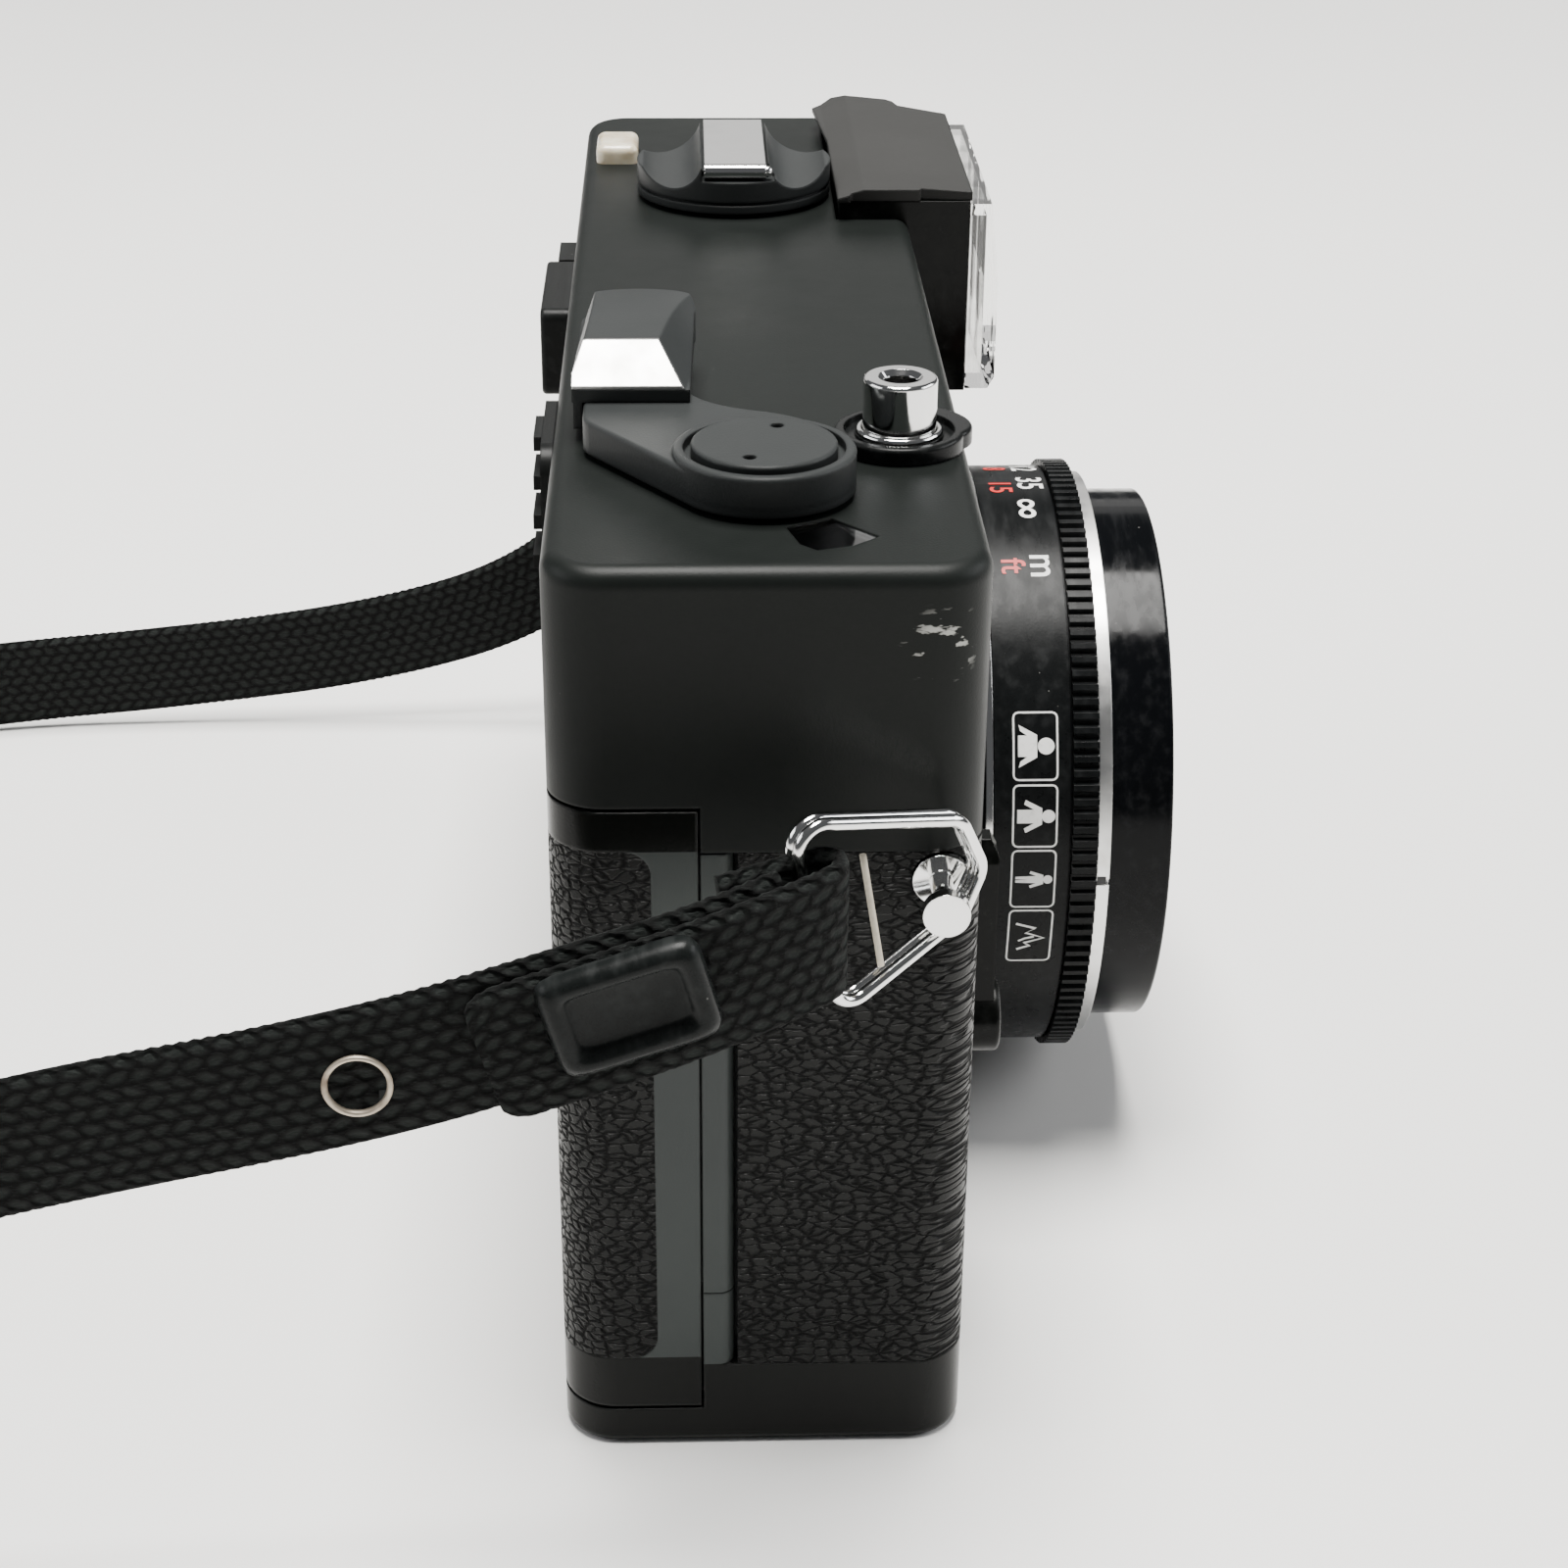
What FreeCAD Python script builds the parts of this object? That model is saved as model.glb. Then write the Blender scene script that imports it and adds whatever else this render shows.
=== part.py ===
import FreeCAD, Part
import math
import os

# A compact 35 mm viewfinder camera with a built-in flash and a webbing neck strap.
# Millimetres.  +X is the user's left, -Y the lens side, +Y the user's side, +Z up.
# The origin is the tripod socket's mouth, in the middle of the base.

V = FreeCAD.Vector

# ---- driving dimensions ----
HALF_W = 66.0            # half the body's width
HALF_D = 16.3            # half the body's depth
BODY_H = 77.3            # top plate above the table
CORNER = 4.4             # upright corners of the casings
SHEET = 1.2              # wall of the pressed covers
SKIN = 0.7               # leatherette
GAP = 0.05               # working clearance between fitted pieces

BASE_TOP = 7.9           # top edge of the base cover's skirt
COVER_LOW = 54.9         # lower edge of the top cover, front and ends
SPLIT_Y = 4.9            # the back door begins behind this plane
DOOR_LOW, DOOR_HIGH = 3.8, 58.3
DOOR_WALL = 1.4
CORE_X, CORE_Y = 64.0, 14.5      # the casting's core, inside covers and door
CORE_LOW, DECK_TOP = 3.7, 58.2
CHAMBER_LOW, CHAMBER_HIGH = 7.4, 54.4

LENS_Z = 30.6            # optical axis
LENS_FRONT = -37.7
BARREL_R = 28.0
GRIP_R = 28.6
GRIP_RIBS = 140
FRONT_R = 25.7
THREAD_R, THREAD_END = 23.0, -34.7   # filter thread: its radius and how far in it goes
GATE_W, GATE_H = 18.0, 24.0      # half frame
FILM_Y = 10.9

HINGE_X, HINGE_Y, KNUCKLE_R = -64.75, 3.65, 1.25
KNUCKLE_SPLIT = 15.0     # where the base's knuckle ends and the door's begins
LEVER_X, LEVER_Y, HUB_R = -50.5, -0.1, 6.9
SPOOL_X, SPOOL_Y = -38.3, 3.4
SPROCKET_X, SPROCKET_Y = -24.2, 4.6
BUTTON_X, BUTTON_Y, BUTTON_R = -40.4, -10.9, 2.9
BUTTON_TOP = 82.9
TIP_LOW, TIP_TOP = 80.45, 84.4     # the thumb pad on the lever's end
WINDOW_PLAN = [(-57.7, -1.5), (-56.0, -4.9), (-59.6, -8.2), (-61.3, -6.3), (-62.2, -3.6), (-61.0, -2.4)]
WINDER_X, WINDER_Y, KNOB_R = 33.4, 0.8, 9.7
CELL_X, CELL_R = -56.2, 7.0
CELL_YS = (-7.9, 7.0)
CAPACITOR_X = 56.0
TIMER_X, TIMER_Z = -45.0, 28.0

GEAR_MODULE = 0.5
LEVER_TEETH, TRANSFER_TEETH, SPOOL_TEETH = 24, 12, 16
GEAR_LOW, GEAR_HIGH = 59.0, 61.0

FLASH_X0, FLASH_X1 = 24.0, 60.0
FLASH_BACK, FLASH_FRONT = -9.4, -22.3
FLASH_LOW, FLASH_ROOF = 59.6, 79.0
FLASH_RAILS = (29.0, 52.0)
WINDOW_FRONT = -25.3

STRAP_W, STRAP_T = 10.6, 1.0
RUN_SHARE = 0.45         # part of the shorter run that an arc takes
LUG_Y, LUG_Z = -12.9, 52.6
RING_TILT = 29.5         # the strap ring leans out from the body's end
RING_WIRE = 0.5


# ---- shape helpers ----
def box(x0, x1, y0, y1, z0, z1):
    return Part.makeBox(x1 - x0, y1 - y0, z1 - z0, V(x0, y0, z0))


def post(x, y, radius, z0, z1):
    return Part.makeCylinder(radius, z1 - z0, V(x, y, z0), V(0, 0, 1))


def drum(radius, y0, y1, x=0.0, z=LENS_Z):
    """A cylinder along Y, coaxial with the lens unless told otherwise."""
    return Part.makeCylinder(radius, y1 - y0, V(x, y0, z), V(0, 1, 0))


def ring(outer, inner, y0, y1, x=0.0, z=LENS_Z):
    return drum(outer, y0, y1, x, z).cut(drum(inner, y0 - 1, y1 + 1, x, z))


def tidy(shape):
    solids = shape.removeSplitter().Solids
    if len(solids) == 1:
        return solids[0]
    return Part.makeCompound(solids)


def joined(first, *others):
    return tidy(first.fuse(list(others)))


def cut(first, *others):
    return tidy(first.cut(list(others)))


def prism(points, z0, z1):
    wire = Part.makePolygon([V(x, y, z0) for x, y in points] + [V(*points[0], z0)])
    return Part.Face(wire).extrude(V(0, 0, z1 - z0))


def shaped(z0, z1, start, *steps):
    """An upright prism whose outline runs through lines, arcs and smooth curves."""
    edges = []
    at = start
    for kind, *points in steps:
        route = [V(x, y, z0) for x, y in [at] + points]
        if kind == "line":
            edges.append(Part.makeLine(route[0], route[1]))
        elif kind == "arc":
            edges.append(Part.Arc(*route).toShape())
        else:
            curve = Part.BSplineCurve()
            curve.interpolate(route)
            edges.append(curve.toShape())
        at = points[-1]
    return Part.Face(Part.Wire(edges)).extrude(V(0, 0, z1 - z0))


def round_point(centre, radius, turn):
    angle = math.radians(turn)
    return (centre[0] + radius * math.cos(angle), centre[1] + radius * math.sin(angle))


def prism_y(points, y0, y1):
    wire = Part.makePolygon([V(x, y0, z) for x, z in points + points[:1]])
    return Part.Face(wire).extrude(V(0, y1 - y0, 0))


def prism_x(points, x0, x1):
    wire = Part.makePolygon([V(x0, y, z) for y, z in points + points[:1]])
    return Part.Face(wire).extrude(V(x1 - x0, 0, 0))


def edges_along(shape, axis):
    picked = []
    for edge in shape.Edges:
        if len(edge.Vertexes) == 2:
            way = edge.Vertexes[1].Point - edge.Vertexes[0].Point
            if way.Length > 1e-6 and way.cross(axis).Length < 1e-6 * way.Length + 1e-9:
                picked.append(edge)
    return picked


def block(x0, x1, y0, y1, z0, z1, radius):
    """A box with its four upright edges rounded."""
    shape = box(x0, x1, y0, y1, z0, z1)
    return shape.makeFillet(radius, edges_along(shape, V(0, 0, 1)))


def block_y(x0, x1, y0, y1, z0, z1, radius):
    """A box with its four edges along Y rounded."""
    shape = box(x0, x1, y0, y1, z0, z1)
    return shape.makeFillet(radius, edges_along(shape, V(0, 1, 0)))


def block_x(x0, x1, y0, y1, z0, z1, radius):
    """A box with its four edges along X rounded."""
    shape = box(x0, x1, y0, y1, z0, z1)
    return shape.makeFillet(radius, edges_along(shape, V(1, 0, 0)))


def eased(shape, height, radius):
    """Rounds every edge that lies in the plane z = height."""
    flat = []
    for edge in shape.Edges:
        bounds = edge.BoundBox
        if abs(bounds.ZMin - height) < 1e-4 and abs(bounds.ZMax - height) < 1e-4:
            flat.append(edge)
    return shape.makeFillet(radius, flat)


def rim_eased(shape, y, radius):
    """Rounds every edge that lies in the plane Y = y."""
    flat = []
    for edge in shape.Edges:
        bounds = edge.BoundBox
        if abs(bounds.YMin - y) < 1e-4 and abs(bounds.YMax - y) < 1e-4:
            flat.append(edge)
    return shape.makeFillet(radius, flat)


def arc_points(centre, radius, start, stop, count):
    points = []
    for k in range(count + 1):
        turn = math.radians(start + (stop - start) * k / count)
        points.append((centre[0] + radius * math.cos(turn), centre[1] + radius * math.sin(turn)))
    return points


def save(name, shape):
    shape.exportStep("parts/" + name + ".step")


# ---- casing shells ----
def full_plan(inset, z0, z1):
    return block(-HALF_W + inset, HALF_W - inset, -HALF_D + inset, HALF_D - inset,
                 z0, z1, CORNER - inset)


def make_top_cover():
    shell = eased(full_plan(0.0, COVER_LOW, BODY_H), BODY_H, 1.5)
    rear_step = box(-70, 70, SPLIT_Y, 20, 50, DOOR_HIGH + 0.3)
    cavity = full_plan(SHEET, 50, BODY_H - SHEET)
    bay_tub = box(FLASH_X0 - 1.3, FLASH_X1 + 1.3, -HALF_D + 0.6, FLASH_BACK + 1.3,
                  FLASH_LOW - 1.3, BODY_H - 0.6)
    bay = box(FLASH_X0 - 0.3, FLASH_X1 + 0.3, -20, FLASH_BACK + 0.3, FLASH_LOW - 0.3, 90)
    shell = cut(shell, rear_step, cavity)
    shell = joined(shell, bay_tub)
    return cut(
        shell,
        bay,
        post(LEVER_X, LEVER_Y, 3.3, 70, 90),
        post(BUTTON_X, BUTTON_Y, 3.5, 70, 90),
        prism(WINDOW_PLAN, 70, 90),
        post(WINDER_X, WINDER_Y, 4.3, 70, 90),
        block(44.75, 51.65, 10.55, 15.0, 70, 90, 1.0),
        box(-6.0, 12.6, -20, -HALF_D + 2, 63.6, 74.4),
        box(5.6, 13.8, HALF_D - 2, 20, 67.0, 73.2),
        *[post(x, FLASH_BACK - 4.0, 1.4, 55, 65) for x in FLASH_RAILS],
        drum(27.45, -20, -15.45),
    )


def knuckle(z0, z1):
    """A length of the hinge's barrel: round in front, square behind so that it lies flush."""
    return joined(
        post(HINGE_X, HINGE_Y, KNUCKLE_R, z0, z1),
        box(-HALF_W, HINGE_X, HINGE_Y, HINGE_Y + KNUCKLE_R, z0, z1),
    )


def make_base_cover():
    shell = eased(full_plan(0.0, 0.0, BASE_TOP), 0.0, 0.8)
    cavity = full_plan(SHEET, 1.3, 20)
    rear_step = box(-70, 70, SPLIT_Y, 20, DOOR_LOW - 0.3, 20)
    hatch_hole = box(-64.25, -48.1, -14.6, 14.2, -1, 5)
    shell = cut(shell, cavity, rear_step, hatch_hole)
    shell = joined(shell, knuckle(1.35, KNUCKLE_SPLIT - GAP))
    screw_seats = []
    for x, y in SCREW_PLACES:
        screw_seats.append(post(x, y, 2.15, -1, 1.0))
        screw_seats.append(post(x, y, 1.1, -1, 3))
    return cut(
        shell,
        post(0, 0, 6.05, -1, 3),
        post(SPROCKET_X, SPROCKET_Y, 2.6, -1, 3),
        drum(27.45, -20, -15.45),
        drum(23.2, -20, -14.0),
        post(HINGE_X, HINGE_Y, 0.5, 8.4, 20),
        *screw_seats,
    )


SCREW_PLACES = [(-43.0, -10.5), (43.0, -11.5), (-43.0, 11.0), (52.0, 11.0)]


def make_casting():
    front = block(-HALF_W + SKIN + GAP, HALF_W - SKIN - GAP, -HALF_D + SKIN + GAP, 12,
                  BASE_TOP + 0.1, COVER_LOW - 0.1, CORNER - SKIN)
    front = cut(front, box(-70, 0, 2.1, 20, 0, 80), box(0, 70, SPLIT_Y - 0.1, 20, 0, 80))
    core = block(-CORE_X, CORE_X, -CORE_Y, CORE_Y, CORE_LOW, DECK_TOP, 2.6)
    body = joined(core, front)
    transfer_x, transfer_y = transfer_place()
    pockets = [
        post(WINDER_X, WINDER_Y, 13.0, CHAMBER_LOW, CHAMBER_HIGH),
        box(WINDER_X - 13, WINDER_X + 13, WINDER_Y, 20, CHAMBER_LOW, CHAMBER_HIGH),
        post(SPOOL_X, SPOOL_Y, 10.4, CHAMBER_LOW, CHAMBER_HIGH),
        box(SPOOL_X - 10.4, SPOOL_X + 10.4, SPOOL_Y, 20, CHAMBER_LOW, CHAMBER_HIGH),
        post(SPROCKET_X, SPROCKET_Y, 7.6, 10.0, 51.2),
        box(SPROCKET_X - 7.6, SPROCKET_X + 7.6, SPROCKET_Y, 20, 10.0, 51.2),
        box(SPOOL_X, WINDER_X, FILM_Y - 1.3, 20, 10.0, 51.2),
        drum(23.2, -20, -7.6),
        box(-12, 12, -7.7, 12, 16.0, 45.2),
        post(CAPACITOR_X, 0, 7.4, 8.0, 70),
        post(0, 0, 6.1, 0, 8.6),
        post(LEVER_X, LEVER_Y, 2.05, 56.2, 70),
        post(transfer_x, transfer_y, 1.05, 56.2, 70),
        post(SPOOL_X, SPOOL_Y, 2.55, 50, 70),
        post(SPOOL_X, SPOOL_Y, 1.55, 6.0, 20),
        post(SPROCKET_X, SPROCKET_Y, 2.05, 40, 57.0),
        post(SPROCKET_X, SPROCKET_Y, 2.05, 0, 20),
        post(WINDER_X, WINDER_Y, 3.3, 50, 70),
        *[post(x, FLASH_BACK - 4.0, 1.3, 36.0, 70) for x in FLASH_RAILS],
        post(HINGE_X, HINGE_Y, 1.5, 0, 60),
        drum(1.6, -20, -13.5, TIMER_X, TIMER_Z),
    ]
    for y in CELL_YS:
        pockets.append(post(CELL_X, y, CELL_R + 0.1, 0, CHAMBER_HIGH))
    for x, y in SCREW_PLACES:
        pockets.append(post(x, y, 1.0 + GAP, 0, 6.8))
    for side in (-1, 1):
        pockets.append(Part.makeCylinder(1.2, 6, V(side * 61.5, LUG_Y, LUG_Z), V(side, 0, 0)))
    return cut(body, *pockets)


def leather_skin(z0, z1):
    return full_plan(0.0, z0, z1).cut(full_plan(SKIN, z0 - 1, z1 + 1))


def make_front_leather():
    skin = leather_skin(BASE_TOP + GAP, COVER_LOW - GAP)
    trims = [
        box(-70, 0, 2.15, 20, 0, 80),
        box(0, 70, SPLIT_Y - 0.1, 20, 0, 80),
        drum(27.45, -20, 0),
        drum(2.0, -20, 0, TIMER_X, TIMER_Z),
    ]
    for side in (-1, 1):
        trims.append(Part.makeCylinder(2.2, 12, V(side * 58, LUG_Y, LUG_Z), V(side, 0, 0)))
    return cut(skin, *trims)


def door_leather_area():
    """The recess for the door's leather: round-cornered where it ends on the two end walls."""
    return block_x(-70, 70, 8.6, 24, 8.7, 55.0, 2.0)


def make_door():
    shell = full_plan(0.0, DOOR_LOW, DOOR_HIGH).cut(full_plan(DOOR_WALL, 0, 80))
    shell = cut(shell, box(-70, 70, -30, SPLIT_Y + 0.2, 0, 80))
    recess = leather_skin(0, 80).common(door_leather_area())
    leaf = box(-HALF_W + DOOR_WALL - 0.1, -CORE_X - GAP, HINGE_Y, 8.5, 15.2, 54.3)
    swing_room = cut(
        post(HINGE_X, HINGE_Y, 1.9, 0, 80),
        box(-70, -60, 0, 10, KNUCKLE_SPLIT + 0.2, 54.3),
    )
    catch = box(62.6, HALF_W - DOOR_WALL + 0.1, 8.4, 9.9, 50.2, 51.8)
    catch = catch.cut(box(0, CORE_X + GAP, 0, 20, 0, 80))
    shell = cut(shell, recess, swing_room)
    shell = joined(shell, leaf, knuckle(KNUCKLE_SPLIT + GAP, 54.7), catch)
    return cut(shell, post(HINGE_X, HINGE_Y, 0.55, 0, 80))


def make_door_leather():
    return tidy(leather_skin(0, 80).common(door_leather_area()))


def make_hinge_pin():
    return post(HINGE_X, HINGE_Y, 0.5, 8.4, 54.5)


def make_thumb_rest():
    pad = block_y(-38.5, -24.0, HALF_D, HALF_D + 1.0, 62.5, 76.0, 2.4)
    ribs = []
    for k in range(4):
        x, z = -27.6 - 1.9 * k, 74.1 - 2.65 * k
        ribs.append(box(x - 3.6, x + 1.6, HALF_D + 0.5, HALF_D + 1.85, z - 0.6, z + 0.6))
    return joined(pad, *ribs)


# ---- film path ----
def gear_outline(teeth, x, y, phase):
    """A spur gear's outline: straight-sided teeth with backlash."""
    pitch_r = GEAR_MODULE * teeth / 2
    root_r, tip_r = pitch_r - 0.6, pitch_r + 0.42
    points = []
    for k in range(teeth):
        for share, radius in ((-0.30, root_r), (-0.12, tip_r), (0.12, tip_r), (0.30, root_r)):
            turn = phase + (k + share) * 2 * math.pi / teeth
            points.append((x + radius * math.cos(turn), y + radius * math.sin(turn)))
    return points


def gear(teeth, x, y, phase, z0=GEAR_LOW, z1=GEAR_HIGH):
    return prism(gear_outline(teeth, x, y, phase), z0, z1)


def transfer_place():
    """The small gear that meshes with both the lever's gear and the spool's gear."""
    to_lever = GEAR_MODULE * (LEVER_TEETH + TRANSFER_TEETH) / 2
    to_spool = GEAR_MODULE * (SPOOL_TEETH + TRANSFER_TEETH) / 2
    dx, dy = SPOOL_X - LEVER_X, SPOOL_Y - LEVER_Y
    apart = math.hypot(dx, dy)
    along = (apart ** 2 + to_lever ** 2 - to_spool ** 2) / (2 * apart)
    aside = math.sqrt(to_lever ** 2 - along ** 2)
    ux, uy = dx / apart, dy / apart
    return LEVER_X + along * ux + aside * uy, LEVER_Y + along * uy - aside * ux


def meshed_phase(from_place, from_teeth, from_phase, to_place, to_teeth):
    """The phase that puts a gap of the second gear at a tooth of the first."""
    line = math.atan2(to_place[1] - from_place[1], to_place[0] - from_place[0])
    pitch = 2 * math.pi / from_teeth
    ahead = ((from_phase - line) % pitch) / pitch
    return line + math.pi + (0.5 - ahead) * 2 * math.pi / to_teeth


def gear_phases():
    lever, spool, transfer = (LEVER_X, LEVER_Y), (SPOOL_X, SPOOL_Y), transfer_place()
    transfer_phase = meshed_phase(lever, LEVER_TEETH, 0.0, transfer, TRANSFER_TEETH)
    spool_phase = meshed_phase(transfer, TRANSFER_TEETH, transfer_phase, spool, SPOOL_TEETH)
    return 0.0, transfer_phase, spool_phase


def make_transfer_gear():
    x, y = transfer_place()
    return joined(
        gear(TRANSFER_TEETH, x, y, gear_phases()[1]),
        post(x, y, 1.0, 56.4, 62.0),
        post(x, y, 1.9, DECK_TOP + GAP, GEAR_LOW),
    )


def make_take_up_spool():
    x, y = SPOOL_X, SPOOL_Y
    solid = joined(
        post(x, y, 6.2, 9.2, 52.8),
        post(x, y, 8.6, 8.2, 9.2),
        post(x, y, 8.6, 52.8, 53.8),
        post(x, y, 2.5, 53.8, GEAR_LOW),
        post(x, y, 1.5, 6.4, 8.2),
        gear(SPOOL_TEETH, x, y, gear_phases()[2]),
    )
    slots = []
    for k in range(3):
        slot = box(x + 3.6, x + 7.0, y - 0.7, y + 0.7, 14.0, 47.2)
        slot.rotate(V(x, y, 0), V(0, 0, 1), 90 + 120 * k)
        slots.append(slot)
    return cut(solid, *slots)


def make_sprocket():
    x, y = SPROCKET_X, SPROCKET_Y
    pieces = [post(x, y, 2.0, 49.2, 56.8), post(x, y, 2.0, 5.6, 12.0)]
    for z in (15.1, 46.1):
        pieces.append(post(x, y, 6.05, z - 2.1, z + 2.1))
        for k in range(8):
            tooth = prism([(x + 5.8, y - 0.85), (x + 7.15, y - 0.3), (x + 7.15, y + 0.3),
                           (x + 5.8, y + 0.85)], z - 0.9, z + 0.9)
            tooth.rotate(V(x, y, 0), V(0, 0, 1), 22.5 + 45 * k)
            pieces.append(tooth)
    return joined(post(x, y, 5.2, 12.0, 49.2), *pieces)


def make_film_gate():
    plate = box(-16.2, 20.0, FILM_Y - 1.2, FILM_Y - 0.3, 10.1, 51.1)
    aperture = box(-GATE_W / 2, GATE_W / 2, 0, 20,
                   LENS_Z - GATE_H / 2, LENS_Z + GATE_H / 2)
    rails = []
    for side in (-1, 1):
        for offset, height in ((14.6, 0.3), (18.6, 0.6)):
            z = LENS_Z + side * offset
            rails.append(box(-16.2, 20.0, FILM_Y - 0.5, FILM_Y - 0.3 + height, z - 0.5, z + 0.5))
    return cut(joined(plate, *rails), aperture)


def make_pressure_plate():
    plate = block_y(-15.4, 19.2, FILM_Y + 0.4, FILM_Y + 1.3, 12.6, 48.6, 1.5)
    leaf = box(-9.0, 13.0, FILM_Y + 1.3, FILM_Y + 1.6, 26.6, 34.6)
    tips = []
    for x0, x1 in ((-14.0, -9.0), (13.0, 18.0)):
        near, far = (x1, x0) if x1 < 0 else (x0, x1)
        y = FILM_Y + 1.3
        tip = prism([(near, y), (far, y + 1.6), (far, y + 1.9), (near, y + 0.3)], 28.1, 33.1)
        tips.append(tip)
    return joined(plate, leaf, *tips)


# ---- winding, release and counter on the top plate ----
def make_advance_lever():
    """The lever's hub, its curved arm and the shaft that goes down to the gears."""
    x, y = LEVER_X, LEVER_Y
    hub = joined(post(x, y, HUB_R, 78.5, 80.9), post(x, y, HUB_R - 1.1, BODY_H + 0.15, 78.5))
    hub = cut(eased(hub, 80.9, 0.3), post(x, y, 6.1, 80.2, 90))
    corner = (-42.0, 10.5)
    rim = [round_point((x, y), HUB_R, turn) for turn in (123, 215, 308)]
    arm = shaped(
        BODY_H + 0.5, 80.4, (-31.0, 13.7),
        ("line", (corner[0], 13.7)),
        ("arc", round_point(corner, 3.2, 107), round_point(corner, 3.2, 123)),
        ("line", rim[0]),
        ("arc", rim[1], rim[2]),
        ("curve", (-43.2, -3.6), (-41.7, -1.6), (-40.5, 1.3), (-38.5, 4.2), (-35.5, 5.9), (-31.0, 6.3)),
        ("line", (-31.0, 13.7)),
    )
    arm = eased(arm, 80.4, 0.3)
    arm = cut(arm, post(x, y, HUB_R - 0.1, 70, 90))
    shaft = joined(post(x, y, 3.0, GEAR_LOW - 0.5, 78.6), post(x, y, 2.0, 56.4, GEAR_LOW),
                   gear(LEVER_TEETH, x, y, 0.0))
    return joined(hub, arm, shaft)


def tip_form():
    """The thumb pad's whole outside: rounded far end, sloping sides, falling crown."""
    form = shaped(
        TIP_LOW, TIP_TOP, (-39.3, 5.4),
        ("line", (-39.3, 14.6)),
        ("line", (-24.0, 14.3)),
        ("arc", round_point((-23.6, 9.7), 4.75, 0), (-24.6, 5.0)),
        ("line", (-39.3, 5.4)),
    )
    form = eased(form, TIP_TOP, 1.1)
    near_side = prism_x([(3.6, TIP_LOW + 1.0), (5.3, TIP_LOW + 1.0), (8.4, 85), (3.6, 85)], -60, 0)
    near_side.rotate(V(-36, 7.6, 83), V(0, 0, 1), -8)
    far_side = prism_x([(15.5, TIP_LOW + 1.4), (14.7, TIP_LOW + 1.4), (13.5, 85), (15.5, 85)], -60, 0)
    far_side.rotate(V(-36, 13.6, 83), V(0, 0, 1), -3)
    crown = joined(
        Part.makeCylinder(75.0, 30, V(-31.5, -5, TIP_TOP - 75.0), V(0, 1, 0)),
        box(-60, -31.5, -5, 25, 60, TIP_TOP),
    )
    return tidy(cut(form, near_side, far_side).common(crown))


def tip_bevel(depth):
    """Everything past the bevelled end, to a given depth under its face."""
    return prism_y([(-39.6 + depth, TIP_LOW + 1.1), (-35.4 + depth, TIP_TOP + 0.3), (-50, 90),
                    (-50, TIP_LOW + 1.1)], 0, 20)


def make_lever_tip():
    """The thumb pad, with a skirt that hangs outside the arm's end."""
    skirt = box(-39.3, -27.0, 13.8, 14.5, 78.3, TIP_LOW + 0.5)
    return joined(cut(tip_form(), tip_bevel(0.4)), skirt)


def make_lever_trim():
    """The bright strip that faces the thumb pad's bevelled end."""
    return tidy(tip_form().common(tip_bevel(0.38)).cut(tip_bevel(0.0)))


def make_lever_cap():
    disc = post(LEVER_X, LEVER_Y, 5.5, 80.25, 81.3)
    disc = eased(disc, 81.3, 0.25)
    holes = []
    for turn in (-17, 161):
        x, y = round_point((LEVER_X, LEVER_Y), 3.6, turn)
        holes.append(post(x, y, 0.5, 80.7, 90))
    return cut(disc, *holes)


def make_counter_dial():
    return cut(post(LEVER_X, LEVER_Y, 11.2, 71.8, 72.6), post(LEVER_X, LEVER_Y, 3.08, 70, 80))


def make_counter_window():
    window = prism(WINDOW_PLAN, 70, 90).makeOffsetShape(-GAP, 1e-4, join=2)
    return window.common(box(-70, 0, -20, 20, 76.2, BODY_H - 0.1))


def make_release_collar():
    """A shallow dish round the button, drawn out to a low nose towards the flash."""
    x, y = BUTTON_X, BUTTON_Y
    dish = shaped(
        BODY_H + GAP, 78.7, round_point((x, y), 5.1, 20),
        ("arc", round_point((x, y), 5.1, 150), round_point((x, y), 5.1, 255)),
        ("curve", (x + 1.8, y - 5.75), (x + 4.0, y - 4.6), round_point((x, y), 5.1, 20)),
    )
    dish = eased(dish, 78.7, 0.35)
    foot = post(x, y, 3.45, 77.8, 78.35)
    solid = joined(dish, post(x, y, 3.45, 74.5, BODY_H + 0.5))
    solid = joined(cut(solid, post(x, y, 4.35, 78.1, 90)), foot)
    return cut(solid, post(x, y, BUTTON_R + 0.07, 70, 90))


def make_shutter_button():
    x, y = BUTTON_X, BUTTON_Y
    solid = joined(
        eased(post(x, y, BUTTON_R, 75.0, BUTTON_TOP), BUTTON_TOP, 0.3),
        post(x, y, 1.2, 63.0, 75.0),
        post(x, y, 2.1, 64.0, 65.0),
    )
    countersink = Part.makeCone(1.35, 1.75, 0.4, V(x, y, BUTTON_TOP - 0.4), V(0, 0, 1))
    return cut(solid, post(x, y, 1.35, BUTTON_TOP - 5.5, 90), countersink)


def make_button_spring():
    """A coil spring of square wire between the deck and the button's foot."""
    coil_r, half, rise, turns, steps = 1.75, 0.2, 1.2, 4, 16
    foot = V(BUTTON_X, BUTTON_Y, DECK_TOP + 0.3)
    points = []
    for k in range(turns * steps + 1):
        px, py = round_point((0, 0), coil_r, 360 * k / steps)
        points.append(foot + V(px, py, rise * k / steps))
    corners = [V(a * half, 0, b * half) for a, b in ((-1, -1), (1, -1), (1, 1), (-1, 1), (-1, -1))]
    section = Part.makePolygon([points[0] + c for c in corners])
    return Part.makePolygon(points).makePipeShell([section], True, False, 1)


# ---- rewind ----
def make_rewind_sleeve():
    x, y = WINDER_X, WINDER_Y
    return cut(joined(post(x, y, 4.2, 61.0, 77.5), post(x, y, 5.4, 60.2, 61.2)),
               post(x, y, 3.0, 50, 90))


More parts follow.
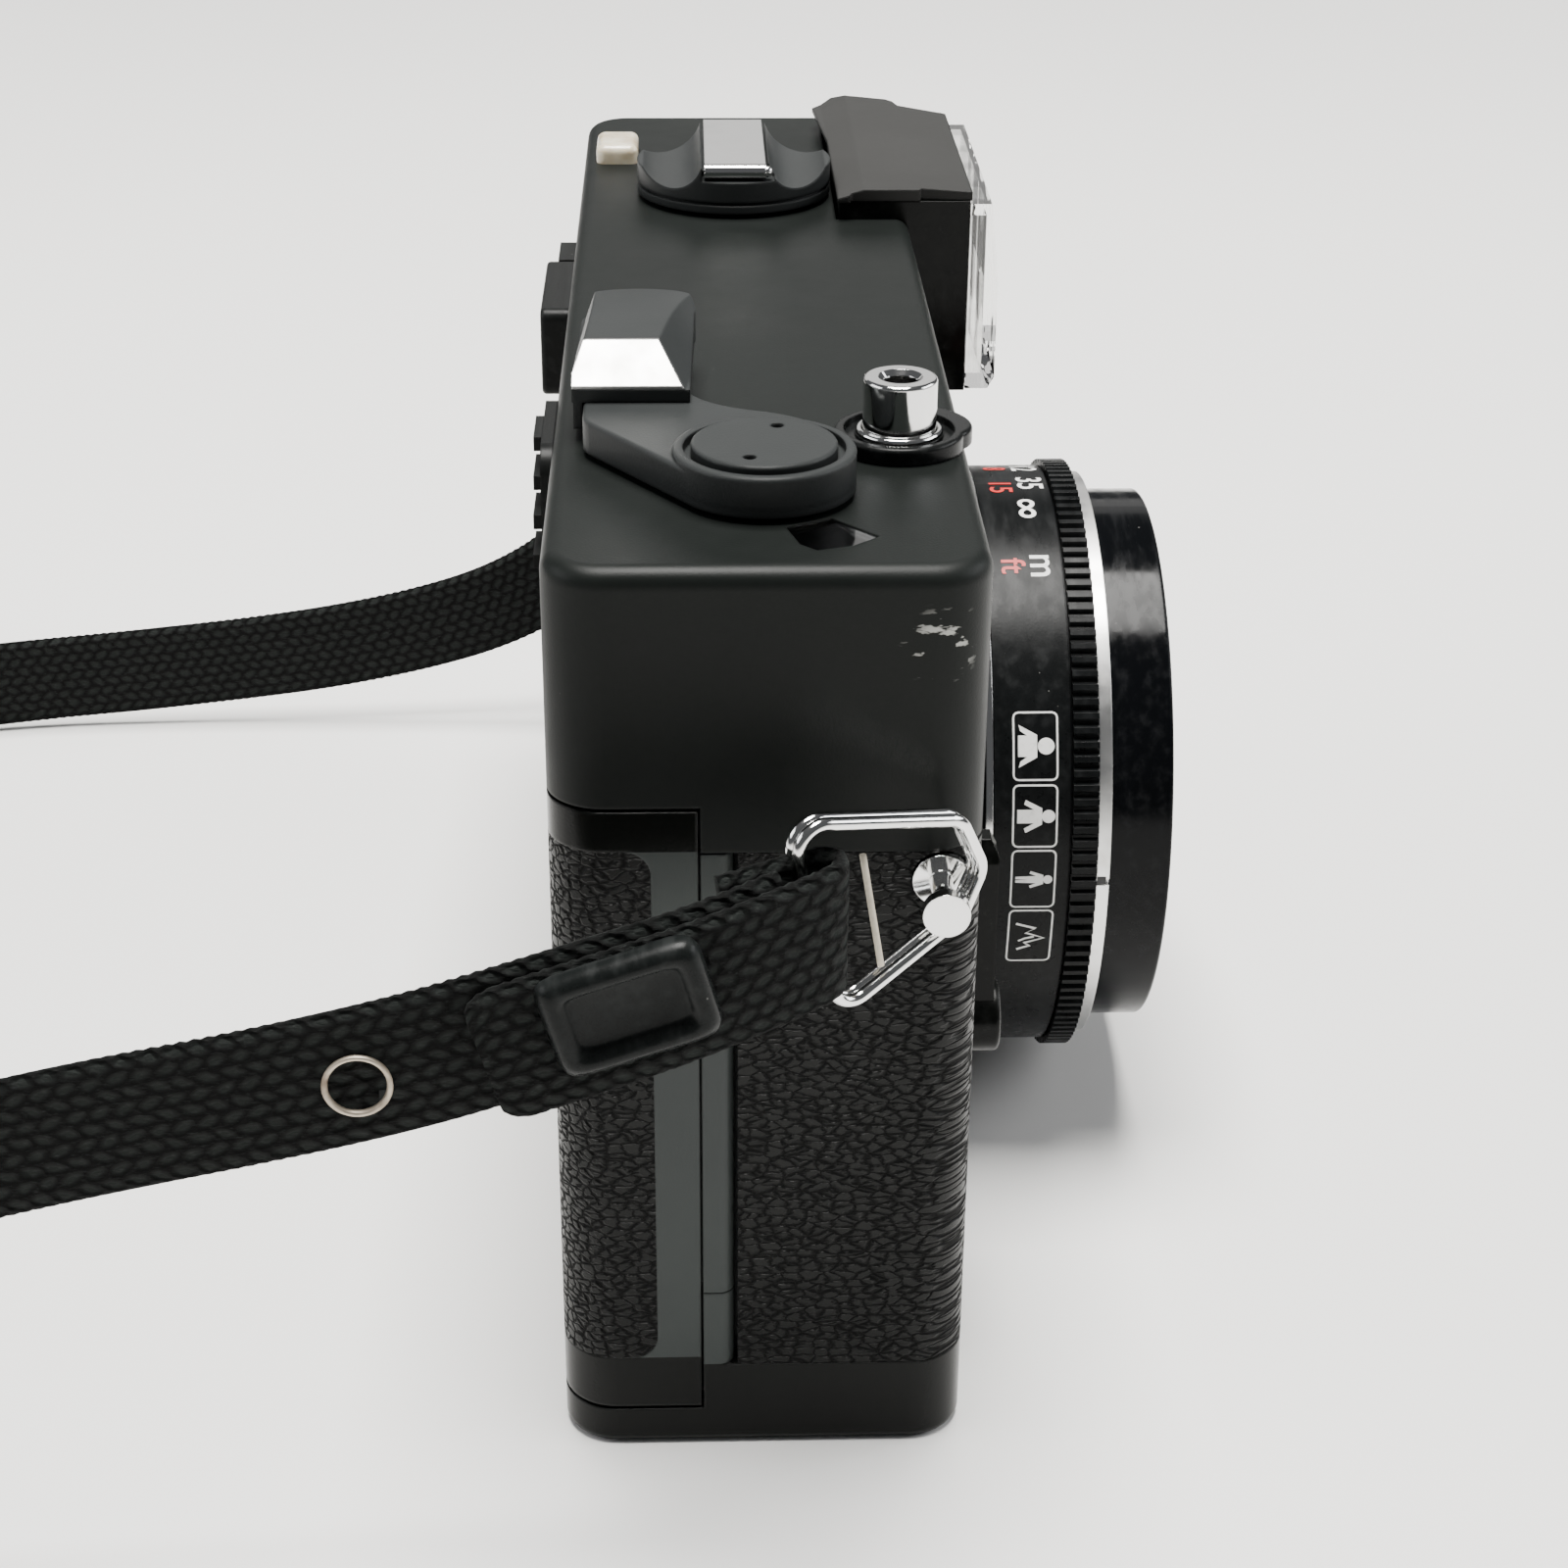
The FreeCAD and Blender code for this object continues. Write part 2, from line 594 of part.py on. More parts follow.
def make_rewind_shaft():
    x, y = WINDER_X, WINDER_Y
    fork = joined(post(x, y, 2.9, 49.0, 79.0), box(x - 2.4, x + 2.4, y - 0.6, y + 0.6, 46.5, 49.5))
    return fork


def make_rewind_knob():
    """A round knob with a ridge along X and a finger scoop on each side of it."""
    x, y = WINDER_X, WINDER_Y
    disc = post(x, y, KNOB_R, BODY_H + 0.5, 80.9)
    ridge = box(x - KNOB_R, x + KNOB_R, y - 4.1, y + 4.1, 80.0, 82.2)
    ridge = ridge.common(post(x, y, KNOB_R, 70, 90))
    knob = joined(disc, ridge)
    cuts = [box(x - 12, x + 12, y - 3.25, y + 3.25, 81.5, 90), post(x, y, 2.95, 70, 79.05)]
    for side in (-1, 1):
        cuts.append(Part.makeCylinder(3.4, 40, V(x - 20, y + side * 6.6, 83.2), V(1, 0, 0)))
    knob = cut(knob, *cuts)
    groove = cut(post(x, y, KNOB_R + 1, 78.6, 78.9), post(x, y, KNOB_R - 0.3, 70, 90))
    roll_room = box(x - KNOB_R - 1, x - KNOB_R + 2.6, y - 3.9, y + 3.25, 80.9, 90)
    return cut(knob, groove, roll_room)


def make_rewind_crank():
    """The folding crank plate, rolled round its pin at one end."""
    x, y = WINDER_X - KNOB_R + 1.2, WINDER_Y
    roll = Part.makeCylinder(0.75, 6.0, V(x, y - 3.0, 81.75), V(0, 1, 0))
    pin_end = Part.makeSphere(0.55, V(x, y - 3.15, 81.75))
    plate = box(x, WINDER_X + KNOB_R - 0.4, y - 3.0, y + 3.0, 81.75, 82.5)
    return joined(plate, roll, pin_end)


# ---- flash ----
def make_flash_housing():
    rails = [post(x, FLASH_BACK - 4.0, 1.2, 37.0, FLASH_LOW + 0.5) for x in FLASH_RAILS]
    shell = box(FLASH_X0, FLASH_X1, FLASH_FRONT, FLASH_BACK, FLASH_LOW, FLASH_ROOF)
    mouth = box(FLASH_X0 + 1.2, FLASH_X1 - 5.4, FLASH_FRONT - 1, FLASH_BACK - 1.6,
                FLASH_LOW + 2.0, FLASH_ROOF - 1.2)
    return joined(cut(shell, mouth), *rails)


def make_flash_cover():
    """The roof plate, falling away behind, with a narrower front part over the window."""
    z0, z1 = FLASH_ROOF + GAP, 80.2
    outline = [(23.3, -9.2), (46.0, -9.2), (60.2, -8.2), (63.6, -10.4), (61.2, -16.2)]
    outline += [(60.2, -16.9), (58.4, -17.4), (55.8, -22.4), (24.1, -22.5), (24.5, -17.5), (23.9, -17.3)]
    outline += [(23.9, -10.6), (23.3, -10.4)]
    plate = prism(outline, z0, z1)
    slope = prism_x([(-12.2, z1 + 0.1), (0, z1 + 0.1), (0, z0 + 0.4), (FLASH_BACK + 0.2, z0 + 0.4)],
                    -80, 80)
    fall = prism_x([(-17.0, z1), (-17.0, z1 + 1), (-26, z1 + 1), (-26, z1 - 0.5)], -80, 80)
    return cut(plate, slope, fall)


def make_flash_window():
    """A clear moulded front, bowed forward."""
    x0, x1 = FLASH_X0 - 0.3, FLASH_X1 - 4.5
    z0, z1 = FLASH_LOW + 0.3, FLASH_ROOF - 0.2
    face = FLASH_FRONT - GAP
    bow = prism_x([(face, z0), (face - 2.3, z0), (WINDOW_FRONT, z0 + 1.2), (WINDOW_FRONT, z1 - 8.0),
                   (WINDOW_FRONT + 0.3, z1 - 5.0), (face - 2.1, z1), (face, z1)], x0, x1)
    inside = box(x0 + 1.0, x1 - 1.0, WINDOW_FRONT + 1.3, FLASH_FRONT + 1, z0 + 1.4, z1 - 1.3)
    return cut(bow, inside)


def make_flash_reflector():
    """A polished trough behind the tube."""
    x0, x1 = FLASH_X0 + 1.3, FLASH_X1 - 5.5
    middle = (FLASH_LOW + 2 + FLASH_ROOF - 1.2) / 2
    outer = prism_x([(-21.3, middle - 6.7), (-21.3, middle + 6.7), (-14.0, middle + 3.6),
                     (-12.4, middle), (-14.0, middle - 3.6)], x0, x1)
    inner = prism_x([(-21.9, middle - 6.4), (-21.9, middle + 6.4), (-14.2, middle + 3.1),
                     (-12.9, middle), (-14.2, middle - 3.1)], x0 + 0.5, x1 - 0.5)
    return cut(outer, inner)


def make_flash_tube():
    middle = (FLASH_LOW + 2 + FLASH_ROOF - 1.2) / 2
    x0, x1 = FLASH_X0 + 2.1, FLASH_X1 - 6.3
    return Part.makeCylinder(1.3, x1 - x0, V(x0, -15.8, middle), V(1, 0, 0))


def make_capacitor():
    body = eased(post(CAPACITOR_X, 0, 7.2, 8.1, 53.0), 53.0, 0.6)
    leads = [post(CAPACITOR_X, side * 2.5, 0.4, 52.5, 57.0) for side in (-1, 1)]
    return joined(body, *leads)


def make_ready_lamp():
    lamp = block(44.8, 51.6, 10.6, 14.95, 75.0, 79.2, 0.95)
    return eased(lamp, 79.2, 0.8)


# ---- power ----
def make_battery_cells():
    cells = []
    for k, y in enumerate(CELL_YS):
        nub_low = k == 0
        z0, z1 = (4.9, 53.4) if nub_low else (3.6, 52.1)
        body = post(CELL_X, y, CELL_R, z0, z1)
        nub = post(CELL_X, y, 2.7, 3.6, 5.0) if nub_low else post(CELL_X, y, 2.7, 52.0, 53.4)
        cells.append(joined(body, nub))
    return Part.makeCompound(cells)


def make_battery_hatch():
    plate = box(-64.1, -48.9, -14.45, 14.05, 0.1, 1.25)
    barrel = Part.makeCylinder(0.57, 28.5, V(-48.9, -14.45, 0.68), V(0, 1, 0))
    springs = []
    for y in CELL_YS:
        springs.append(post(CELL_X, y, 3.2, 1.2, 1.8))
        springs.append(post(CELL_X, y, 1.8, 1.7, 3.5))
    return joined(plate, barrel, *springs)


# ---- viewfinder ----
def make_viewfinder_block():
    tube = box(-6.6, 13.2, -14.6, -4.0, 62.9, 75.2)
    neck = box(4.9, 13.2, -4.0, 14.9, 66.2, 74.0)
    hollow = box(-5.4, 12.2, -20, -5.0, 64.0, 74.2)
    throat = box(6.0, 12.2, -20, 20, 67.3, 73.0)
    return cut(joined(tube, neck), hollow, throat)


def make_viewfinder_window():
    return box(-5.95, 12.55, -HALF_D + 0.25, -HALF_D + 1.15, 63.65, 74.35)


def make_eyepiece_frame():
    """The moulded eyepiece, standing proud of the cover, with a low step beside it."""
    frame = block_y(4.4, 21.2, HALF_D + GAP, 19.2, 65.8, 74.1, 1.0)
    frame = rim_eased(frame, 19.2, 0.4)
    step = box(21.0, 27.0, HALF_D + GAP, 18.1, 66.6, 74.1)
    eye = Part.makeBox(7.0, 20, 5.0, V(6.2, 10, 67.6))
    funnel = prism_x([(19.3, 66.9), (17.6, 67.6), (17.6, 72.6), (19.3, 73.3)], 5.6, 13.8)
    pilot = block_y(15.6, 19.6, 18.4, 30, 68.4, 71.8, 0.8)
    return cut(joined(frame, step), eye, funnel, pilot)


def make_eyepiece_lens():
    return box(6.25, 13.15, HALF_D + 0.35, HALF_D + 1.15, 67.65, 72.55)


# ---- lens ----
def grip_outline():
    """The knurled grip's star outline in X and Z."""
    points = []
    for k in range(GRIP_RIBS):
        for share, radius in ((0.0, GRIP_R - 0.45), (0.2, GRIP_R), (0.6, GRIP_R), (0.8, GRIP_R - 0.45)):
            turn = (k + share) * 2 * math.pi / GRIP_RIBS
            points.append((radius * math.cos(turn), LENS_Z + radius * math.sin(turn)))
    return points


def make_lens_barrel():
    """The fixed barrel that the casting carries, with its wide foot."""
    foot = ring(27.4, 23.4, -20.5, -HALF_D + SKIN + GAP)
    tube = ring(25.8, 23.0, -31.95, -20.0)
    inner = ring(25.8, 23.4, -20.5, -HALF_D + SKIN + GAP)
    return joined(foot, inner, tube)


def make_trim_ring():
    return ring(28.1, 25.85, -21.2, -20.55)


def make_focus_ring():
    barrel = ring(BARREL_R, 25.95, -28.1, -21.3)
    grip = prism_y(grip_outline(), -30.6, -28.3).cut(drum(25.95, -40, 0))
    web = ring(BARREL_R - 0.5, 25.95, -28.4, -28.0)
    return joined(barrel, web, grip)


def make_index_ring():
    return cut(ring(27.4, 25.85, -31.9, -30.75), box(-30, -26.9, -32.0, -30.0, LENS_Z, LENS_Z + 0.6))


def make_front_ring():
    """The gloss front ring with the conical name bezel and the filter thread's bore."""
    outer = ring(FRONT_R, THREAD_R, LENS_FRONT, -32.05)
    outer = rim_eased(outer, LENS_FRONT, 0.3)
    plate = ring(THREAD_R + 0.3, 11.6, THREAD_END + 0.8, -32.7)
    collar = ring(THREAD_R + 0.3, THREAD_R - 0.7, THREAD_END, -32.7)
    step = ring(17.5, 11.6, THREAD_END + 0.4, THREAD_END + 0.9)
    meter = drum(2.0, -40, -33.4, 0.0, LENS_Z + 20.0)
    return cut(joined(outer, plate, collar, step), meter)


def make_lens_cell():
    tube = ring(11.3, 8.4, -31.85, -17.0)
    lip = ring(11.3, 9.6, -34.1, -31.8)
    return joined(tube, lip)


def lens_glass(radius, y_front, y_back, bulge):
    """A lens with a bulged front and a flat back."""
    sphere_r = (radius ** 2 + bulge ** 2) / (2 * bulge)
    ball = Part.makeSphere(sphere_r, V(0, y_front + sphere_r, LENS_Z))
    return tidy(drum(radius, y_front, y_back).common(ball))


def make_front_lens():
    return lens_glass(9.55, -34.3, -31.95, 1.5)


def make_rear_lens():
    return lens_glass(7.9, -10.4, -8.2, 0.8)


def make_shutter_housing():
    disc = ring(22.9, 8.0, -15.3, -8.0)
    guide = ring(14.0, 11.4, -32.6, -15.0)
    blade_room = ring(19.6, 0.5, -12.9, -11.3)
    stubs = [drum(1.0, -15.0, -9.5, side * 5.0, LENS_Z + 13.0) for side in (-1, 1)]
    seat = drum(7.95, -10.5, -5)
    body = joined(cut(joined(disc, guide), blade_room), *stubs)
    return cut(body, seat)


def make_shutter_blade(side):
    """Half of the shutter: a half-disc on a small arm."""
    pivot_x, pivot_z = side * 5.0, LENS_Z + 13.0
    points = arc_points((0.0, LENS_Z), 8.9, -90, 90, 14)
    points = [(side * x, z) for x, z in points]
    points = [(-side * 1.2, LENS_Z - 8.9)] + points + [(-side * 1.2, LENS_Z + 8.9)]
    y0 = -12.7 if side < 0 else -11.9
    leaf = prism_y(points, y0, y0 + 0.3)
    arm = prism_y([(side * 3.2, LENS_Z + 6), (side * 6.8, LENS_Z + 6),
                   (side * 6.6, pivot_z), (side * 3.4, pivot_z)], y0, y0 + 0.3)
    eye = drum(1.9, y0, y0 + 0.3, pivot_x, pivot_z)
    return cut(joined(leaf, arm, eye), drum(1.05, -20, 0, pivot_x, pivot_z))


def make_self_timer():
    boss = rim_eased(drum(3.1, -20.2, -HALF_D - 0.25, TIMER_X, TIMER_Z), -20.2, 0.4)
    shaft = drum(1.5, -HALF_D - 0.3, -13.6, TIMER_X, TIMER_Z)
    x, z = TIMER_X, TIMER_Z
    arm = prism_y([(x - 2.0, z), (x - 1.6, z + 15.2), (x - 0.9, z + 17.2), (x + 0.9, z + 17.2),
                   (x + 1.6, z + 15.2), (x + 2.0, z)], -19.6, -17.6)
    chamfer = prism_x([(-20.5, z + 13.6), (-18.6, z + 18.0), (-20.5, z + 18.0)], x - 5, x + 5)
    return cut(joined(boss, shaft, arm), chamfer)


# ---- base fittings ----
def make_tripod_socket():
    body = joined(post(0, 0, 6.0, 0.0, 1.5), post(0, 0, 5.2, 1.5, 8.2))
    return cut(body, post(0, 0, 3.175, -1, 6.6))


def make_rewind_release():
    x, y = SPROCKET_X, SPROCKET_Y
    return joined(eased(post(x, y, 2.5, 0.3, 2.2), 0.3, 0.3), post(x, y, 1.9, 2.2, 4.0))


def make_base_screws():
    screws = []
    for x, y in SCREW_PLACES:
        head = post(x, y, 2.1, 0.15, 1.0)
        shank = post(x, y, 1.0, 1.0, 6.6)
        slot = box(x - 1.5, x + 1.5, y - 0.22, y + 0.22, 0.0, 0.55)
        cross = box(x - 0.22, x + 0.22, y - 1.5, y + 1.5, 0.0, 0.55)
        screws.append(cut(joined(head, shank), slot, cross))
    return Part.makeCompound(screws)


# ---- strap and its hardware ----
def make_strap_lugs():
    lugs = []
    for side in (-1, 1):
        way = V(side, 0, 0)
        pieces = [
            Part.makeCylinder(1.15, 3.4, V(side * 62.2, LUG_Y, LUG_Z), way),
            Part.makeCylinder(2.1, 1.0, V(side * 65.35, LUG_Y, LUG_Z), way),
            Part.makeCylinder(0.85, 4.8, V(side * 66.2, LUG_Y, LUG_Z), way),
            Part.makeCylinder(1.75, 1.0, V(side * 70.75, LUG_Y, LUG_Z), way),
        ]
        lugs.append(joined(*pieces))
    return Part.makeCompound(lugs)


def rounded_path(points, radius=None, closed=False):
    """Straight runs joined by tangent arcs, and the arcs' radii."""
    count = len(points)
    corners = range(count) if closed else range(1, count - 1)
    starts, ends, arcs, radii = {}, {}, {}, []
    for k in corners:
        before, here, after = points[k - 1], points[k], points[(k + 1) % count]
        way_in, way_out = here - before, after - here
        turn = way_in.getAngle(way_out)
        short = min(way_in.Length, way_out.Length)
        way_in.normalize()
        way_out.normalize()
        r = radius or RUN_SHARE * short / math.tan(turn / 2)
        reach = r * math.tan(turn / 2)
        inward = way_out - way_in
        inward.normalize()
        starts[k], ends[k] = here - way_in * reach, here + way_out * reach
        middle = here + inward * (r / math.cos(turn / 2) - r)
        arcs[k] = Part.Arc(starts[k], middle, ends[k]).toShape()
        radii.append(round(r, 1))
    edges = []
    for k in range(count if closed else count - 1):
        following = (k + 1) % count
        first, last = ends.get(k, points[k]), starts.get(following, points[following])
        edges.append(Part.LineSegment(first, last).toShape())
        if following in arcs:
            edges.append(arcs[following])
    return Part.Wire(Part.__sortEdges__(edges)), radii


def ring_wire(shift):
    """One turn of the strap ring, in its own plane: A at the bar's top, C at its foot."""
    tilt = math.radians(RING_TILT)
    along, normal = V(-math.sin(tilt), math.cos(tilt), 0), V(-math.cos(tilt), -math.sin(tilt), 0)
    base = V(-69.3, LUG_Y, LUG_Z) + normal * shift
    corners = [(13.6, 10.0), (-0.9, 6.6), (-3.0, 2.2), (-1.3, -1.4), (9.3, -6.6)]
    points = [base + along * u + V(0, 0, w) for u, w in corners]
    path, _ = rounded_path(points, 1.9, closed=True)
    start = path.Edges[0]
    place = start.valueAt(start.FirstParameter)
    circle = Part.makeCircle(RING_WIRE, place, start.tangentAt(start.FirstParameter))
    return path.makePipeShell([Part.Wire(circle)], True, False)


def far_copy(shape):
    """The near ring, carried to the far end and swung down to hang from its lug."""
    other = shape.mirror(V(0, 0, 0), V(1, 0, 0))
    other.rotate(V(0, LUG_Y, LUG_Z), V(1, 0, 0), -50)
    return other


def make_strap_rings():
    near = tidy(ring_wire(-0.46).fuse(ring_wire(0.46)))
    return Part.makeCompound([near, far_copy(near)])


NEAR_ROUTE = [
    (-76.3, -0.9, 53.8), (-79.8, 4.6, 53.0), (-81.2, 13.5, 50.6), (-82.6, 28.8, 46.3),
    (-84.0, 53.8, 42.0), (-83.8, 80.0, 34.0), (-83.0, 108.0, 23.0), (-80.0, 136.0, 12.0),
    (-71.9, 160.0, 6.4), (-64.6, 177.0, 5.6), (-63.0, 184.0, 5.6),
]
FAR_ROUTE = [
    (75.2, -3.6, 44.2), (75.4, 4.5, 34.8), (74.6, 13.5, 26.0), (73.6, 25.5, 15.9),
    (73.0, 44.0, 10.6), (72.8, 66.0, 7.6), (71.5, 90.0, 5.9), (65.0, 113.0, 5.6),
    (48.0, 130.0, 5.6), (22.0, 137.3, 5.6), (-4.0, 138.0, 5.6),
]
COIL_X, COIL_Y, COIL_R = -10.0, 190.0, 51.2
EYELET = V(-82.6, 28.8, 46.3)


def band(route, label):
    """The webbing on edge along a route: its broad side stays upright."""
    points = [V(*p) for p in route]
    path, radii = rounded_path(points)
    heading = points[1] - points[0]
    heading.normalize()
    across = heading.cross(V(0, 0, 1))
    across.normalize()
    upright = across.cross(heading)
    start = points[0]
    corners = []
    for a, b in ((-1, -1), (1, -1), (1, 1), (-1, 1)):
        corners.append(start + across * (a * STRAP_T / 2) + upright * (b * STRAP_W / 2))
    profile = Part.makePolygon(corners + corners[:1])
    solid = path.makePipeShell([profile], True, False)
    wanted = STRAP_W * STRAP_T * path.Length
    print(label, "length", round(path.Length, 1), "volume share", round(solid.Volume / wanted, 3),
          "radii", radii, "end height", round(solid.BoundBox.ZMin, 2))
    return solid


def make_strap_coil():
    return post(COIL_X, COIL_Y, COIL_R, 0.1, STRAP_W + 0.3)


def make_strap_fittings():
    """The moulded keeper plate on the folded end, and the eyelet further along."""
    keeper = block_x(-83.6, -82.4, 4.6, 15.2, 48.4, 55.6, 1.4)
    heading = math.degrees(math.atan2(50.4 - 46.5, 14.5))
    keeper.rotate(V(-81, 9.9, 52.0), V(1, 0, 0), -heading)
    keeper.rotate(V(-81, 9.9, 52.0), V(0, 0, 1), 8)
    return Part.makeCompound([keeper, eyelet_barrel(2.5, 2.0)])


def eyelet_barrel(radius, length):
    way = V(-0.9975, -0.07, 0)
    return Part.makeCylinder(radius, length, EYELET - way * (length / 2), way)


# ---- everything ----
def main():
    os.makedirs("parts", exist_ok=True)
    save("body_casting", make_casting())
    save("top_cover", make_top_cover())
    save("base_cover", make_base_cover())
    save("front_leather", make_front_leather())
    save("film_gate", make_film_gate())
    save("back_door", make_door())
    save("door_leather", make_door_leather())
    save("hinge_pin", make_hinge_pin())
    save("pressure_plate", make_pressure_plate())
    save("take_up_spool", make_take_up_spool())
    save("film_sprocket", make_sprocket())
    save("transfer_gear", make_transfer_gear())
    save("advance_lever", make_advance_lever())
    save("lever_tip", make_lever_tip())
    save("lever_trim", make_lever_trim())
    save("lever_cap", make_lever_cap())
    save("counter_dial", make_counter_dial())
    save("counter_window", make_counter_window())
    save("release_collar", make_release_collar())
    save("shutter_button", make_shutter_button())
    save("button_spring", make_button_spring())
    save("rewind_sleeve", make_rewind_sleeve())
    save("rewind_shaft", make_rewind_shaft())
    save("rewind_knob", make_rewind_knob())
    save("rewind_crank", make_rewind_crank())
    save("flash_housing", make_flash_housing())
    save("flash_cover", make_flash_cover())
    save("flash_window", make_flash_window())
    save("flash_reflector", make_flash_reflector())
    save("flash_tube", make_flash_tube())
    save("flash_capacitor", make_capacitor())
    save("ready_lamp", make_ready_lamp())
    save("battery_cells", make_battery_cells())
    save("battery_hatch", make_battery_hatch())
    save("viewfinder_block", make_viewfinder_block())
    save("viewfinder_window", make_viewfinder_window())
    save("eyepiece_frame", make_eyepiece_frame())
    save("eyepiece_lens", make_eyepiece_lens())
    save("thumb_rest", make_thumb_rest())
    save("lens_barrel", make_lens_barrel())
    save("trim_ring", make_trim_ring())
    save("focus_ring", make_focus_ring())
    save("index_ring", make_index_ring())
    save("front_ring", make_front_ring())
    save("lens_cell", make_lens_cell())
    save("front_lens", make_front_lens())
    save("rear_lens", make_rear_lens())
    save("shutter_housing", make_shutter_housing())
    save("shutter_blade_near", make_shutter_blade(-1))
    save("shutter_blade_far", make_shutter_blade(1))
    save("self_timer_lever", make_self_timer())
    save("tripod_socket", make_tripod_socket())
    save("rewind_release", make_rewind_release())
    save("base_screws", make_base_screws())
    save("strap_lugs", make_strap_lugs())
    save("strap_rings", make_strap_rings())
    save("strap_near", cut(band(NEAR_ROUTE, "near strap"), eyelet_barrel(2.55, 6.0)))
    save("strap_coil", make_strap_coil())
    save("strap_far", band(FAR_ROUTE, "far strap"))
    save("strap_fittings", make_strap_fittings())


main()
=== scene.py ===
import math

import bpy
from mathutils import Matrix, Vector


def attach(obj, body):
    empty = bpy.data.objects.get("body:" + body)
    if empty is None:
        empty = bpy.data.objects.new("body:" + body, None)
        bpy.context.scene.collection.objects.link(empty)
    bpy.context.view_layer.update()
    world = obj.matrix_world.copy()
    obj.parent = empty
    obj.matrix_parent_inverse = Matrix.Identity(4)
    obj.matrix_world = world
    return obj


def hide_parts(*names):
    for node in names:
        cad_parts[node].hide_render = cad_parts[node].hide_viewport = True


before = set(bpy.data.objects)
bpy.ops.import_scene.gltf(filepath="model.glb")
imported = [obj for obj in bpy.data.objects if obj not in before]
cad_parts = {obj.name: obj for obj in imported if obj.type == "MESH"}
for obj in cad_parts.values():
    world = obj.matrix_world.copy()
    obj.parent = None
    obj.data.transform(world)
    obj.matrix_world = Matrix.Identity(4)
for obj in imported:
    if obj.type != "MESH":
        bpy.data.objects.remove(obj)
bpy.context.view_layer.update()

MM = 0.001
UP = Vector((0, 0, 1))
LENS_Z = 30.6 * MM
BARREL_R = 28.0 * MM
STRAP_W, STRAP_T = 10.6 * MM, 1.25 * MM
BUTTON_X, BUTTON_Y = -40.4, -10.9        # the shutter button's axis, in millimetres

CAMERA_PLACE = (-252.06, 5.48, 154.56)   # millimetres
CAMERA_YAW, CAMERA_PITCH, CAMERA_ROLL = -2.06, 26.79, 0.474      # degrees
LENS_LENGTH, SENSOR_WIDTH = 65.77, 36.0


# ---- camera and light ----
def make_camera():
    """The eye is at the winding end, a quarter of a metre off and looking down."""
    data = bpy.data.cameras.new("camera")
    data.sensor_width, data.lens, data.clip_start = SENSOR_WIDTH, LENS_LENGTH, 0.01
    yaw, pitch, roll = (math.radians(turn) for turn in (CAMERA_YAW, CAMERA_PITCH, CAMERA_ROLL))
    ahead = Vector((math.cos(pitch) * math.cos(yaw), math.cos(pitch) * math.sin(yaw), -math.sin(pitch)))
    level = ahead.cross(UP).normalized()
    above = level.cross(ahead)
    right = math.cos(roll) * level + math.sin(roll) * above
    top = math.cos(roll) * above - math.sin(roll) * level
    camera = bpy.data.objects.new("camera", data)
    bpy.context.scene.collection.objects.link(camera)
    place = Matrix((right, top, -ahead)).transposed().to_4x4()
    place.translation = Vector(CAMERA_PLACE) * MM
    camera.matrix_world = place
    bpy.context.scene.camera = camera


def area_light(name, place, target, size, power, color=(1, 1, 1)):
    data = bpy.data.lights.new(name, "AREA")
    data.shape, data.size, data.size_y = "RECTANGLE", size[0], size[1]
    data.energy, data.color = power, color
    light = bpy.data.objects.new(name, data)
    bpy.context.scene.collection.objects.link(light)
    light.location = place
    light.rotation_euler = (Vector(target) - Vector(place)).to_track_quat("-Z", "Y").to_euler()


def make_lights():
    area_light("overhead", (0.04, 0.0, 1.05), (-0.04, 0, 0), (0.45, 0.55), 35.0, (1.0, 0.985, 0.955))
    area_light("far_wall", (1.5, 0.1, 0.62), (0, 0, 0.03), (1.6, 0.5), 2.4, (1.0, 0.985, 0.96))
    area_light("lens_side", (0.1, -1.1, 0.6), (0, 0, 0.03), (0.9, 0.5), 10.0, (0.97, 0.98, 1.0))
    area_light("user_side", (-0.05, 1.1, 0.6), (0, 0, 0.03), (0.9, 0.5), 6.5, (0.97, 0.98, 1.0))
    world = bpy.data.worlds.new("studio")
    world.use_nodes = True
    background = world.node_tree.nodes["Background"]
    background.inputs["Color"].default_value = (0.9, 0.92, 0.95, 1)
    background.inputs["Strength"].default_value = 0.12
    bpy.context.scene.world = world


